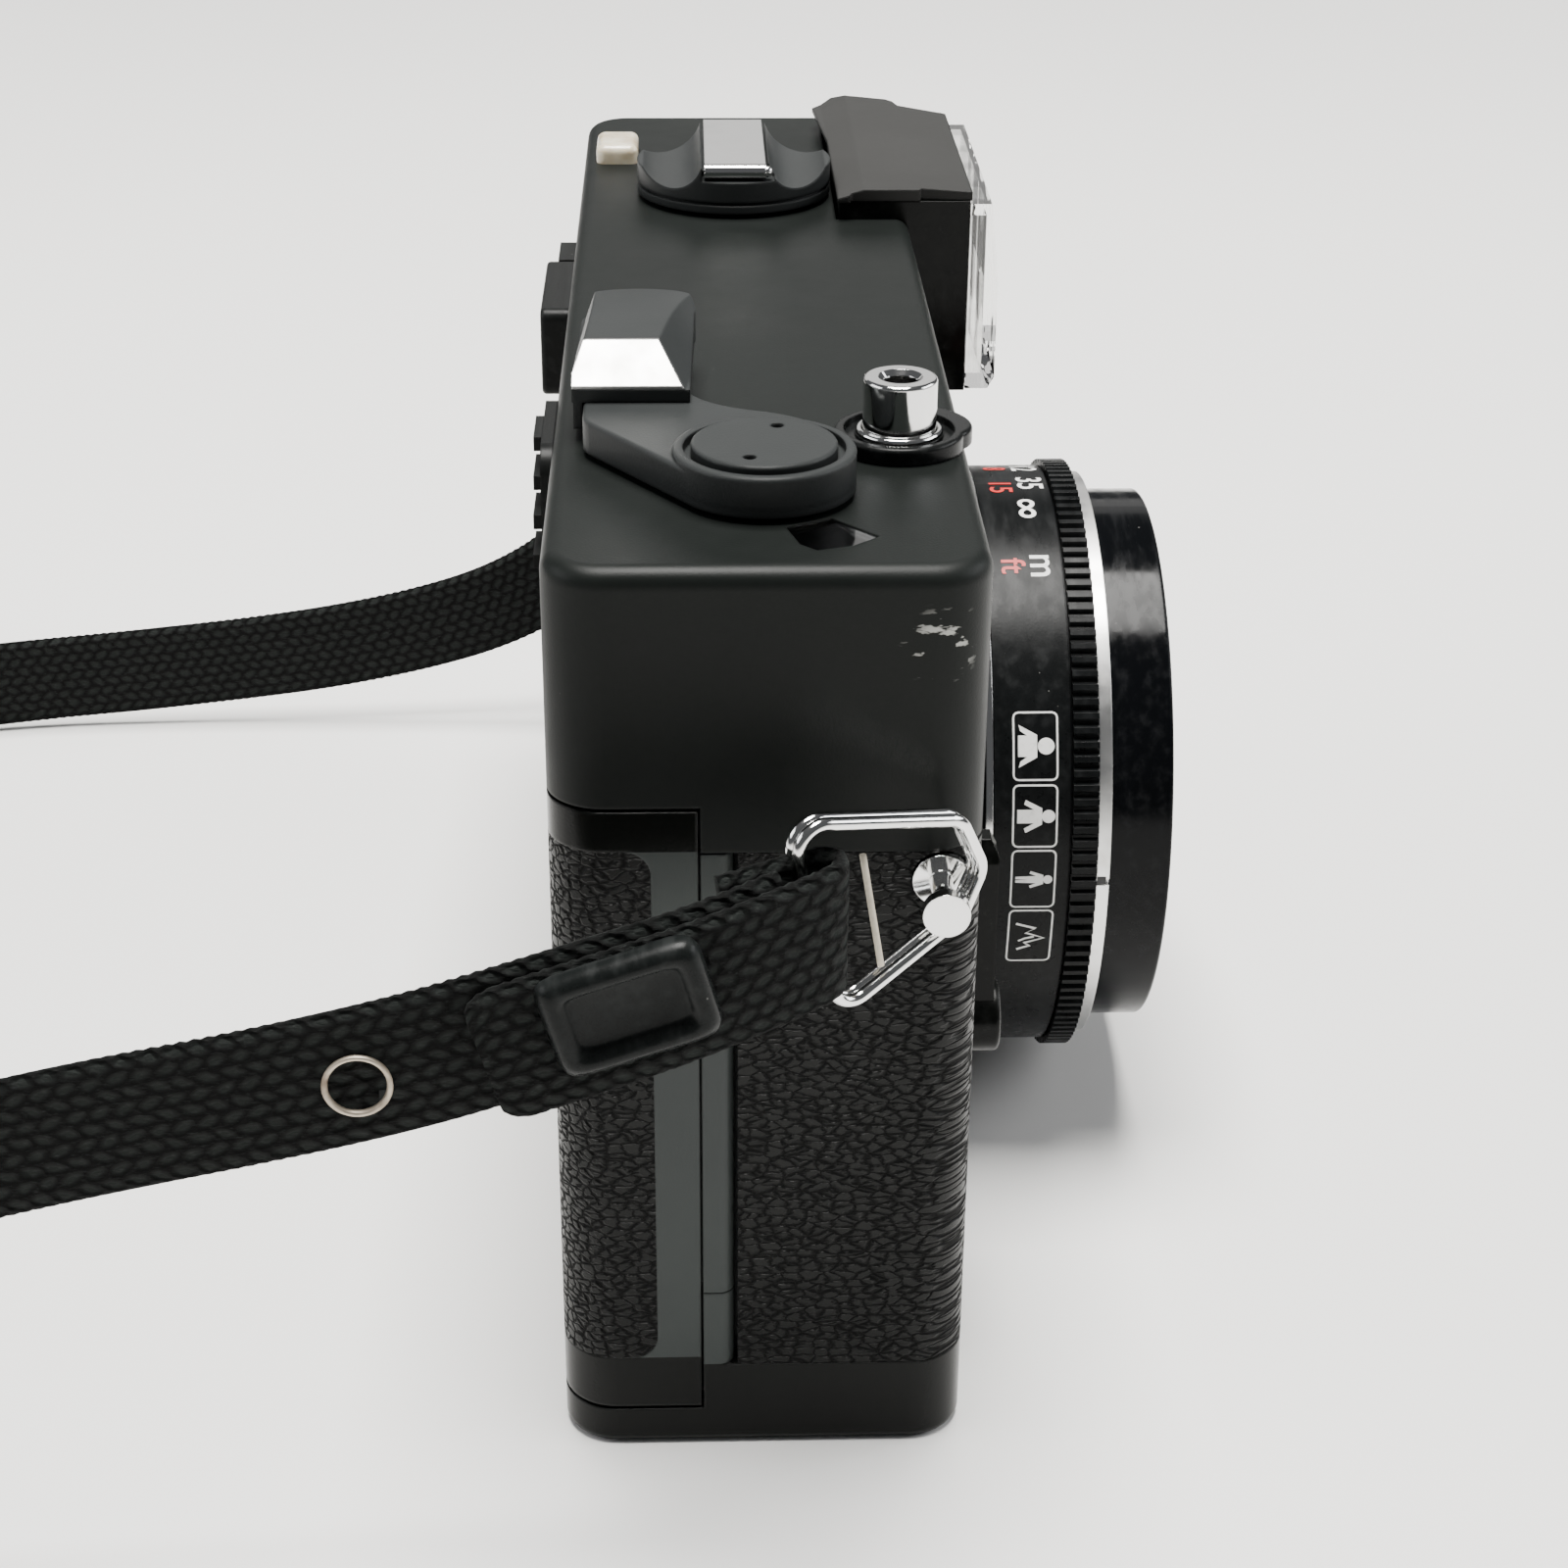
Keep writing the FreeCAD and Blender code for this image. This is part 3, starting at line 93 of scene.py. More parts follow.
# ---- material helpers ----
class Shade:
    """A Principled material with short calls for the nodes behind it."""

    def __init__(self, name, color, rough, **sockets):
        self.material = bpy.data.materials.new(name)
        self.material.use_nodes = True
        self.tree = self.material.node_tree
        self.shader = self.tree.nodes["Principled BSDF"]
        self.put("Base Color", (*color, 1))
        self.put("Roughness", rough)
        for key, value in sockets.items():
            self.put(key.replace("_", " "), value)

    def put(self, socket, value):
        self.shader.inputs[socket].default_value = value

    def add(self, kind, **settings):
        made = self.tree.nodes.new(kind)
        for key, value in settings.items():
            setattr(made, key, value)
        return made

    def join(self, a, b):
        self.tree.links.new(a, b)

    def feed(self, socket, value):
        if isinstance(value, bpy.types.NodeSocket):
            self.join(value, socket)
        else:
            socket.default_value = value

    def place(self, scale=(1, 1, 1), source="Object", turn=(0, 0, 0)):
        """Object coordinates in units of 1 / scale metres."""
        here = self.add("ShaderNodeTexCoord")
        mapping = self.add("ShaderNodeMapping")
        mapping.inputs["Scale"].default_value = scale
        mapping.inputs["Rotation"].default_value = turn
        self.join(here.outputs[source], mapping.inputs["Vector"])
        return mapping.outputs["Vector"]

    def noise(self, where, scale, detail=3.0, rough=0.55, output="Fac"):
        made = self.add("ShaderNodeTexNoise")
        made.inputs["Scale"].default_value = scale
        made.inputs["Detail"].default_value = detail
        made.inputs["Roughness"].default_value = rough
        self.join(where, made.inputs["Vector"])
        return made.outputs[output]

    def cells(self, where, scale, feature="F1", randomness=1.0):
        made = self.add("ShaderNodeTexVoronoi", feature=feature)
        made.inputs["Scale"].default_value = scale
        made.inputs["Randomness"].default_value = randomness
        self.join(where, made.inputs["Vector"])
        return made.outputs["Distance"]

    def math(self, operation, a, b=0.0, c=0.0):
        made = self.add("ShaderNodeMath", operation=operation)
        for socket, value in zip(made.inputs, (a, b, c)):
            self.feed(socket, value)
        return made.outputs[0]

    def fit(self, value, low, high, to_low=0.0, to_high=1.0, smooth=True):
        made = self.add("ShaderNodeMapRange", interpolation_type="SMOOTHSTEP" if smooth else "LINEAR")
        for key, item in (("Value", value), ("From Min", low), ("From Max", high),
                          ("To Min", to_low), ("To Max", to_high)):
            self.feed(made.inputs[key], item)
        return made.outputs["Result"]

    def mix(self, amount, a, b):
        made = self.add("ShaderNodeMix", data_type="RGBA")
        self.feed(made.inputs["Factor"], amount)
        for socket, value in ((made.inputs[6], a), (made.inputs[7], b)):
            self.feed(socket, value if isinstance(value, bpy.types.NodeSocket) else (*value, 1))
        return made.outputs[2]

    def warped(self, where, scale, amount):
        """The place moved a little by noise."""
        shift = self.noise(where, scale, 2.0, output="Color")
        centred = self.add("ShaderNodeVectorMath", operation="MULTIPLY_ADD")
        self.join(shift, centred.inputs[0])
        centred.inputs[1].default_value = (amount, amount, amount)
        self.join(where, centred.inputs[2])
        return centred.outputs[0]

    def bump(self, height, strength, distance, under=None):
        made = self.add("ShaderNodeBump")
        made.inputs["Strength"].default_value = strength
        made.inputs["Distance"].default_value = distance
        self.join(height, made.inputs["Height"])
        if under:
            self.join(under, made.inputs["Normal"])
        return made.outputs["Normal"]

    def softened(self, radius):
        made = self.add("ShaderNodeBevel", samples=4)
        made.inputs["Radius"].default_value = radius
        return made.outputs["Normal"]

    def color(self, value):
        self.join(value, self.shader.inputs["Base Color"])

    def rough(self, value):
        self.join(value, self.shader.inputs["Roughness"])

    def normal(self, value):
        self.join(value, self.shader.inputs["Normal"])

    def part(self, where, axis):
        """One coordinate of a place."""
        split = self.add("ShaderNodeSeparateXYZ")
        self.join(where, split.inputs[0])
        return split.outputs["XYZ".index(axis)]

    def layer(self, axis, low, high, blend=0.00003):
        """1 between two heights along an axis, 0 elsewhere."""
        value = self.part(self.place(), axis)
        return self.math("MULTIPLY", self.fit(value, low - blend, low + blend),
                         self.fit(value, high - blend, high + blend, 1.0, 0.0))

    def near(self, centre, radius):
        """1 at a point of the object, falling to 0 at a radius from it."""
        away = self.add("ShaderNodeVectorMath", operation="DISTANCE")
        self.join(self.place(), away.inputs[0])
        away.inputs[1].default_value = centre
        return self.fit(away.outputs["Value"], 0.35 * radius, radius, 1.0, 0.0)


def enamel(name, base, light, rough, dust=0.6, chips=(), gloss=None):
    """Satin enamel: a fine grain, faint cloudy wear, dust and a few chips.

    gloss is (axis, low, high): outside it the part is bare gloss black."""
    made = Shade(name, base, rough, Specular_IOR_Level=0.11)
    where = made.place()
    cloud = made.noise(where, 55.0, 4.0)
    fine = made.noise(where, 5200.0, 2.0)
    tone = made.mix(made.fit(cloud, 0.35, 0.75), base, light)
    roughness = made.fit(cloud, 0.2, 0.8, rough - 0.06, rough + 0.08)
    if gloss:
        satin = made.layer(*gloss)
        tone = made.mix(satin, (0.0045, 0.005, 0.0045), tone)
        roughness = made.math("MULTIPLY_ADD", satin, made.math("SUBTRACT", roughness, 0.17), 0.17)
    specks = made.cells(where, 520.0)
    scatter = made.noise(where, 130.0, 2.0)
    size = made.fit(scatter, 0.52, 0.78, 0.0, 0.085 * dust)
    speck = made.fit(made.math("SUBTRACT", specks, size), -0.03, 0.0, 1.0, 0.0)
    speck = made.math("MULTIPLY", speck, made.fit(scatter, 0.5, 0.62))
    tone = made.mix(made.math("MULTIPLY", speck, 0.55), tone, (0.42, 0.42, 0.39))
    for centre, radius in chips:
        streaks = made.noise(made.place((900, 500, 1400), turn=(0.6, 0, 0)), 1.0, 3.0)
        chip = made.math("MULTIPLY", made.fit(streaks, 0.58, 0.64), made.near(centre, radius))
        tone = made.mix(made.math("MULTIPLY", chip, 0.8), tone, (0.5, 0.5, 0.47))
    made.color(tone)
    made.rough(roughness)
    made.normal(made.bump(fine, 0.22, 0.00005, made.softened(0.00035)))
    return made.material


def glossy(name, base, rough, grain=0.0, edge=0.0002, dust=1.0):
    """Polished dark moulding with fine wipe marks and a little dust."""
    made = Shade(name, base, rough, Specular_IOR_Level=0.09)
    where = made.place()
    wipes = made.noise(made.place((60, 900, 900), turn=(0.3, 0.5, 0.2)), 1.0, 4.0)
    cloud = made.noise(where, 120.0, 3.0)
    specks = made.cells(where, 700.0)
    speck = made.fit(specks, 0.045 * dust, 0.075 * dust + 0.001, 1.0, 0.0)
    speck = made.math("MULTIPLY", speck, made.fit(cloud, 0.52, 0.62))
    brighter = tuple(1.6 * c + 0.004 for c in base)
    tone = made.mix(made.fit(wipes, 0.45, 0.8), base, brighter)
    made.color(made.mix(made.math("MULTIPLY", speck, 0.4), tone, (0.35, 0.35, 0.33)))
    made.rough(made.fit(wipes, 0.3, 0.75, rough, rough + 0.12))
    height = made.noise(where, 4200.0 if grain else 900.0, 2.0)
    made.normal(made.bump(height, 0.05 + grain, 0.00004, made.softened(edge)))
    return made.material


def metal(name, base, rough, stretch=(1, 1, 1), tarnish=(0.3, 0.27, 0.2), wear=0.25):
    """Plated or machined metal with fine scratches and a little tarnish."""
    made = Shade(name, base, rough, Metallic=1.0)
    cloud = made.noise(made.place(), 260.0, 4.0)
    lines = made.noise(made.place(tuple(2600 * s for s in stretch)), 1.0, 2.0)
    dull = made.math("MULTIPLY", made.fit(cloud, 0.5, 0.8), wear)
    made.color(made.mix(dull, base, tarnish))
    made.rough(made.fit(cloud, 0.3, 0.8, rough, rough + 0.5 * wear))
    made.normal(made.bump(lines, 0.06 + 0.1 * wear, 0.00003, made.softened(0.00012)))
    return made.material


def leatherette():
    """Flattened glossy pebbles, longer than they are high, with painted shade darkening the creases between
    them.
    """
    made = Shade("leatherette", (0.006, 0.0065, 0.006), 0.3, Specular_IOR_Level=0.13)
    here = made.place()
    along = made.math("ADD", made.part(here, "X"), made.part(here, "Y"))
    sheet = made.add("ShaderNodeCombineXYZ")
    made.join(made.math("MULTIPLY", along, 760.0), sheet.inputs[0])
    made.join(made.math("MULTIPLY", made.part(here, "Z"), 1450.0), sheet.inputs[1])
    flat = made.warped(sheet.outputs[0], 0.9, 0.75)
    pebbles = made.add("ShaderNodeTexVoronoi", voronoi_dimensions="2D", feature="DISTANCE_TO_EDGE")
    pebbles.inputs["Scale"].default_value = 1.0
    made.join(flat, pebbles.inputs["Vector"])
    gate = made.fit(made.noise(sheet.outputs[0], 0.8, 2.0), 0.36, 0.62, 0.35, 1.0)
    edge = made.math("DIVIDE", pebbles.outputs["Distance"], gate)
    dome = made.fit(edge, 0.0, 0.38)
    fine = made.noise(here, 6500.0, 2.0)
    # painted shade: the colour falls to near black towards the creases between the pebbles, where shade falls
    tone = made.mix(made.fit(edge, 0.04, 0.2), (0.0005, 0.0006, 0.0005), (0.0042, 0.0046, 0.0042))
    made.color(made.mix(made.fit(fine, 0.55, 0.85, 0.0, 0.4), tone, (0.018, 0.019, 0.018)))
    made.rough(made.fit(dome, 0.0, 1.0, 0.75, 0.3))
    relief = made.math("ADD", dome, made.math("MULTIPLY", fine, 0.06))
    made.normal(made.bump(relief, 1.0, 0.00042))
    return made.material


def webbing():
    """Braided black nylon: staggered oval stitches that lean by turns."""
    made = Shade("webbing", (0.007, 0.008, 0.0075), 0.88, Specular_IOR_Level=0.14)
    long_pitch, wide_pitch = 1.75, 1.18
    uv = made.add("ShaderNodeUVMap", uv_map="strap")
    parts = made.add("ShaderNodeSeparateXYZ")
    made.join(uv.outputs["UV"], parts.inputs[0])
    wobble = made.noise(uv.outputs["UV"], 0.55, 2.0)
    along = made.math("ADD", made.math("DIVIDE", parts.outputs[0], long_pitch),
                      made.math("MULTIPLY", wobble, 0.5))
    across = made.math("ADD", made.math("DIVIDE", parts.outputs[1], wide_pitch),
                       made.math("MULTIPLY", wobble, 0.4))
    row = made.math("FLOOR", across)
    odd = made.math("PINGPONG", row, 1.0)
    along = made.math("ADD", along, made.math("MULTIPLY", odd, 0.5))
    a = made.math("SUBTRACT", made.math("FRACT", along), 0.5)
    b = made.math("SUBTRACT", made.math("FRACT", across), 0.5)
    lean = made.math("SUBTRACT", made.math("MULTIPLY", odd, 0.7), 0.35)
    a = made.math("ADD", a, made.math("MULTIPLY", b, lean))
    far = made.math("SQRT", made.math("ADD", made.math("POWER", made.math("MULTIPLY", a, 2.05), 2.0),
                                      made.math("POWER", made.math("MULTIPLY", b, 2.0), 2.0)))
    stitch = made.fit(far, 0.35, 1.05, 1.0, 0.0)
    threads = made.noise(made.place((5200, 1500, 5200)), 1.0, 3.0)
    height = made.math("ADD", stitch, made.math("MULTIPLY", threads, 0.25))
    # painted shade: the colour darkens from the stitch crowns into the gaps between the stitches, where shade
    # falls
    tone = made.mix(stitch, (0.0008, 0.001, 0.0009), (0.0105, 0.0125, 0.0115))
    made.color(made.mix(made.fit(threads, 0.5, 0.85, 0.0, 0.4), tone, (0.035, 0.04, 0.038)))
    made.normal(made.bump(height, 1.0, 0.00046))
    return made.material


def clear(name, tint, rough=0.04, ribs=0.0, ior=1.49, specks=True):
    """Clear moulding or glass; ribs are the flash window's upright prisms, per metre."""
    made = Shade(name, tint, rough, Transmission_Weight=1.0, IOR=ior)
    haze = made.noise(made.place(), 300.0, 3.0)
    made.color(made.mix(made.fit(haze, 0.5, 0.8, 0.0, 0.25), tint, tuple(0.8 * c for c in tint)))
    if ribs:
        wave = made.add("ShaderNodeTexWave", bands_direction="X", wave_profile="SIN")
        wave.inputs["Scale"].default_value = ribs
        made.join(made.place(), wave.inputs["Vector"])
        made.normal(made.bump(wave.outputs["Fac"], 0.15, 0.0002))
    elif specks:
        made.normal(made.bump(haze, 0.03, 0.0001, made.softened(0.0002)))
    return made.material


def milky():
    """A cream diffusing lens, like the ready lamp's."""
    made = Shade("milky_moulding", (0.78, 0.74, 0.62), 0.22, Subsurface_Weight=0.5,
                 Transmission_Weight=0.15, Coat_Weight=0.5)
    made.put("Subsurface Radius", (0.002, 0.0017, 0.001))
    cloud = made.noise(made.place(), 420.0, 3.0)
    made.color(made.mix(made.fit(cloud, 0.35, 0.75), (0.84, 0.77, 0.60), (0.60, 0.50, 0.34)))
    made.normal(made.bump(cloud, 0.1, 0.0001, made.softened(0.0005)))
    return made.material


def coated_glass():
    """Lens glass over a dark barrel, with a violet coating."""
    made = Shade("coated_glass", (0.02, 0.02, 0.035), 0.03, Specular_IOR_Level=0.8,
                 Coat_Weight=1.0, Coat_Roughness=0.02, Coat_Tint=(0.55, 0.5, 1.0, 1))
    where = made.place()
    cloud = made.noise(where, 60.0, 2.0)
    made.color(made.mix(made.fit(cloud, 0.3, 0.7), (0.01, 0.012, 0.03), (0.03, 0.018, 0.045)))
    return made.material


def printed(name, color):
    """Filled engraving or print, slightly uneven."""
    made = Shade(name, color, 0.5)
    cloud = made.noise(made.place(), 1800.0, 3.0)
    made.color(made.mix(made.fit(cloud, 0.45, 0.8, 0.0, 0.35), color, tuple(0.45 * c for c in color)))
    return made.material


def battery_jacket():
    """A printed sleeve: dark below, copper-coloured near the cell's top."""
    made = Shade("battery_jacket", (0.03, 0.03, 0.03), 0.3, Metallic=0.2)
    parts = made.add("ShaderNodeSeparateXYZ")
    made.join(made.place(), parts.inputs[0])
    top = made.fit(parts.outputs[2], 0.0395, 0.0400)
    grain = made.noise(made.place(), 900.0, 3.0)
    tone = made.mix(top, (0.02, 0.02, 0.022), (0.5, 0.27, 0.08))
    made.color(made.mix(made.fit(grain, 0.5, 0.8, 0.0, 0.3), tone, (0.1, 0.09, 0.08)))
    return made.material


def dial():
    """The frame counter's disc: matt black with white strokes round its edge."""
    made = Shade("dial", (0.02, 0.02, 0.02), 0.6)
    parts = made.add("ShaderNodeSeparateXYZ")
    shifted = made.place()
    made.join(shifted, parts.inputs[0])
    dx = made.math("SUBTRACT", parts.outputs[0], -50.5 * MM)
    dy = made.math("SUBTRACT", parts.outputs[1], -0.1 * MM)
    turn = made.math("ARCTAN2", dy, dx)
    away = made.math("SQRT", made.math("ADD", made.math("POWER", dx, 2.0), made.math("POWER", dy, 2.0)))
    beat = made.math("FRACT", made.math("MULTIPLY", turn, 36 / (2 * math.pi)))
    stroke = made.math("MULTIPLY", made.fit(beat, 0.16, 0.2, 1.0, 0.0), made.fit(away, 0.0092, 0.0094))
    made.color(made.mix(stroke, (0.018, 0.018, 0.018), (0.75, 0.75, 0.72)))
    return made.material


def floor_paper():
    made = Shade("floor_paper", (0.84, 0.835, 0.815), 0.75)
    where = made.place()
    cloud = made.noise(where, 3.0, 2.0)
    made.color(made.mix(made.fit(cloud, 0.3, 0.7), (0.85, 0.845, 0.825), (0.82, 0.815, 0.80)))
    made.normal(made.bump(made.noise(where, 900.0, 3.0), 0.05, 0.0001))
    return made.material


# ---- mesh helpers ----
def faces_between_rings(gaps, count):
    """Quads that join each ring of points to the next, for that many gaps between rings."""
    faces = []
    for ring in range(gaps):
        for k in range(count):
            following = (k + 1) % count
            faces.append((ring * count + k, ring * count + following,
                          (ring + 1) * count + following, (ring + 1) * count + k))
    return faces


def mesh_object(name, points, faces, material, body="body", slot=None, smooth=True):
    mesh = bpy.data.meshes.new(name)
    mesh.from_pydata([tuple(p) for p in points], [], faces)
    mesh.update()
    made = bpy.data.objects.new(name, mesh)
    bpy.context.scene.collection.objects.link(made)
    made.data.materials.append(material)
    for polygon in mesh.polygons:
        polygon.use_smooth = smooth
    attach(made, body)
    return made


def smooth_line(points):
    """The route's NURBS spline, read back as points."""
    curve = bpy.data.curves.new("route", "CURVE")
    curve.dimensions = "3D"
    spline = curve.splines.new("NURBS")
    spline.points.add(len(points) - 1)
    for knot, place in zip(spline.points, points):
        knot.co = (*place, 1)
    spline.order_u = 3
    spline.use_endpoint_u = True
    spline.resolution_u = 20
    holder = bpy.data.objects.new("route", curve)
    bpy.context.scene.collection.objects.link(holder)
    mesh = bpy.data.meshes.new_from_object(holder)
    line = [v.co.copy() for v in mesh.vertices]
    bpy.data.objects.remove(holder)
    bpy.data.meshes.remove(mesh)
    return line


def evenly(line, step):
    """The same line with points an even step apart."""
    out, left = [line[0].copy()], step
    for a, b in zip(line, line[1:]):
        span = (b - a).length
        while span > left:
            a = a.lerp(b, left / span)
            out.append(a.copy())
            span, left = (b - a).length, step
        left -= span
    out.append(line[-1].copy())
    return out


def band_section(width, thick, count=9):
    """Points round a band's section, and how far round each one is."""
    half, round_end = width / 2 - thick / 2, thick / 2
    points = [(half * (2 * k / (count - 1) - 1), thick / 2) for k in range(count)]
    points += [(half + round_end * math.sin(t), round_end * math.cos(t)) for t in (0.8, 1.57, 2.34)]
    points += [(half * (1 - 2 * k / (count - 1)), -thick / 2) for k in range(count)]
    points += [(-half - round_end * math.sin(t), -round_end * math.cos(t)) for t in (0.8, 1.57, 2.34)]
    return points


def make_band(name, line, material, width=STRAP_W, thick=STRAP_T, start_round=0.0, end_round=0.0):
    """Webbing on edge along a line, with a lumpy braided edge and its own UV in millimetres."""
    section = band_section(width, thick)
    count = len(section)
    points, faces, lengths = [], [], [0.0]
    for a, b in zip(line, line[1:]):
        lengths.append(lengths[-1] + (b - a).length)
    for k, here in enumerate(line):
        ahead = (line[min(k + 1, len(line) - 1)] - line[max(k - 1, 0)]).normalized()
        across = ahead.cross(UP).normalized()
        upright = across.cross(ahead)
        narrow = 1.0
        for reach, room in ((start_round, lengths[k]), (end_round, lengths[-1] - lengths[k])):
            if reach and room < reach:
                narrow = min(narrow, 0.72 + 0.28 * math.sqrt(max(0.0, 1 - (1 - room / reach) ** 2)))
        beat = 2 * math.pi * lengths[k] / (1.95 * MM)
        for a, b in section:
            edge = abs(a) / (width / 2)
            lump = 0.16 * MM * math.sin(beat + (1.2 if a > 0 else 0)) * edge ** 6
            stitch = 0.07 * MM * math.cos(beat) * math.cos(2 * math.pi * a / (2.6 * MM))
            wide = a * narrow + math.copysign(lump, a)
            deep = b + math.copysign(stitch, b)
            points.append(here + upright * wide + across * deep)
    for k in range(len(line) - 1):
        for j in range(count):
            following = (j + 1) % count
            faces.append((k * count + j, k * count + following,
                          (k + 1) * count + following, (k + 1) * count + j))
    faces.append(tuple(reversed(range(count))))
    faces.append(tuple((len(line) - 1) * count + j for j in range(count)))
    made = mesh_object(name, points, faces, material, slot="webbing")
    rounds = [0.0]
    for j in range(count):
        a, b = section[j], section[(j + 1) % count]
        rounds.append(rounds[-1] + math.hypot(b[0] - a[0], b[1] - a[1]))
    layer = made.data.uv_layers.new(name="strap")
    for polygon in made.data.polygons:
        if len(polygon.vertices) != 4:
            continue
        first = polygon.index % count
        for corner, loop in enumerate(polygon.loop_indices):
            row = polygon.index // count + (1 if corner in (2, 3) else 0)
            side = first + (1 if corner in (1, 2) else 0)
            layer.data[loop].uv = (lengths[row] / MM, rounds[side] / MM)
    return made


def make_wire(name, line, radius, material, closed=False, sides=12, **where):
    """A round wire along a line."""
    points, faces, count = [], [], len(line)
    side = (line[1] - line[0]).orthogonal().normalized()
    for k, here in enumerate(line):
        behind = line[k - 1] if closed or k else here
        ahead = line[(k + 1) % count] if closed or k < count - 1 else here
        way = (ahead - behind).normalized()
        side = (side - way * side.dot(way)).normalized()
        other = way.cross(side)
        for j in range(sides):
            turn = 2 * math.pi * j / sides
            points.append(here + radius * (math.cos(turn) * side + math.sin(turn) * other))
    for k in range(count if closed else count - 1):
        for j in range(sides):
            a, b = k * sides, ((k + 1) % count) * sides
            faces.append((a + j, a + (j + 1) % sides, b + (j + 1) % sides, b + j))
    if not closed:
        faces.append(tuple(reversed(range(sides))))
        faces.append(tuple((count - 1) * sides + j for j in range(sides)))
    return mesh_object(name, points, faces, material, **where)


# ---- the strap ----
NEAR_ROUTE = [
    (-0.0763, -0.0009, 0.0538), (-0.0798, 0.0046, 0.0530), (-0.0812, 0.0135, 0.0506),
    (-0.0826, 0.0288, 0.0463), (-0.0840, 0.0538, 0.0420), (-0.0838, 0.0800, 0.0340),
    (-0.0830, 0.1080, 0.0230), (-0.0800, 0.1360, 0.0120), (-0.0719, 0.1600, 0.0064),
    (-0.0646, 0.1770, 0.0056), (-0.0618, 0.1845, 0.0056),
]
FAR_ROUTE = [
    (0.0752, -0.0036, 0.0442), (0.0754, 0.0045, 0.0348), (0.0746, 0.0135, 0.0260),
    (0.0736, 0.0255, 0.0159), (0.0730, 0.0440, 0.0106), (0.0728, 0.0660, 0.0076),
    (0.0715, 0.0900, 0.0059), (0.0650, 0.1130, 0.0056), (0.0480, 0.1300, 0.0056),
    (0.0240, 0.1392, 0.0056), (0.0070, 0.1412, 0.0056),
]
COIL_CENTRE = Vector((-0.010, 0.190, 0.0056))
COIL_PITCH = 4.5 * MM         # between neighbouring turns
COIL_HEART = 44.0 * MM        # radius where the two strands turn back into each other


def coil_points():
    """Both strands wound in together, clockwise, meeting in an S at the middle."""
    fall = COIL_PITCH / math.pi
    near_turn, far_turn = 4.2, 2.629        # radians that each strand winds through

    def at(turn, radius):
        return COIL_CENTRE + Vector((radius * math.cos(turn), radius * math.sin(turn), 0))

    near = []
    for k in range(11):
        wound = near_turn * k / 10
        near.append(at(math.pi - wound, COIL_HEART + fall * (near_turn - wound)))
    far = []
    for k in range(7):
        wound = far_turn * k / 6
        far.append(at(-math.pi / 2 - wound, COIL_HEART + fall * (far_turn - wound)))
    turn = math.pi - near_turn
    heart = []
    for side, sense in ((1, -1), (-1, 1)):
        hub = Vector((math.cos(turn), math.sin(turn), 0)) * side * COIL_HEART / 2
        for k in range(1 if side > 0 else 0, 6):
            arm = turn + sense * k * math.pi / 6
            offset = Vector((math.cos(arm), math.sin(arm), 0)) * COIL_HEART / 2
            heart.append(COIL_CENTRE + hub + offset)
    return near + heart + far[::-1]


def strap_line():
    start = [Vector(p) for p in NEAR_ROUTE]
    back = [Vector(p) for p in FAR_ROUTE[::-1]]
    return evenly(smooth_line(start + coil_points() + back), 0.5 * MM)


def tail_line():
    """The folded end: round the ring's bar and back along the outer face."""
    route = [
        (-0.0768, 0.0030, 0.0536), (-0.0753, -0.0018, 0.0545), (-0.0744, -0.0046, 0.0546),
        (-0.0766, -0.0050, 0.0544), (-0.0789, -0.0012, 0.0538), (-0.0815, 0.0050, 0.0525),
        (-0.0829, 0.0120, 0.0507), (-0.0837, 0.0180, 0.0490), (-0.0841, 0.0200, 0.0484),
    ]
    return evenly(smooth_line([Vector(p) for p in route]), 0.4 * MM)


def make_keeper(material):
    """A moulded frame with a raised rim and a sunk blank middle."""
    centre = Vector((-83.9, 9.9, 52.5)) * MM
    along = Vector((-0.10, 0.95, -0.27)).normalized()
    out = along.cross(UP).normalized() * -1
    if out.x > 0:
        out = -out
    high = along.cross(out).normalized()
    if high.z < 0:
        high = -high
    rings = [(5.7, 3.85, -1.2), (5.95, 4.05, -0.4), (5.7, 3.85, 0.5), (5.1, 3.25, 0.95),
             (4.5, 2.65, 0.9), (4.1, 2.25, 0.15), (3.9, 2.05, 0.05)]
    points, faces, count = [], [], 32
    for half_long, half_high, lift in rings:
        for k in range(count):
            turn = 2 * math.pi * (k + 0.5) / count
            c, s = math.cos(turn), math.sin(turn)
            u = half_long * math.copysign(abs(c) ** 0.26, c)
            w = half_high * math.copysign(abs(s) ** 0.26, s)
            points.append(centre + (along * u + high * w + out * lift) * MM)
    for r in range(len(rings) - 1):
        for k in range(count):
            following = (k + 1) % count
            faces.append((r * count + k, r * count + following,
                          (r + 1) * count + following, (r + 1) * count + k))
    faces.append(tuple(reversed(range(count))))
    faces.append(tuple((len(rings) - 1) * count + k for k in range(count)))
    keeper = mesh_object("strap_keeper", points, faces, material, slot="keeper_black")
    return keeper


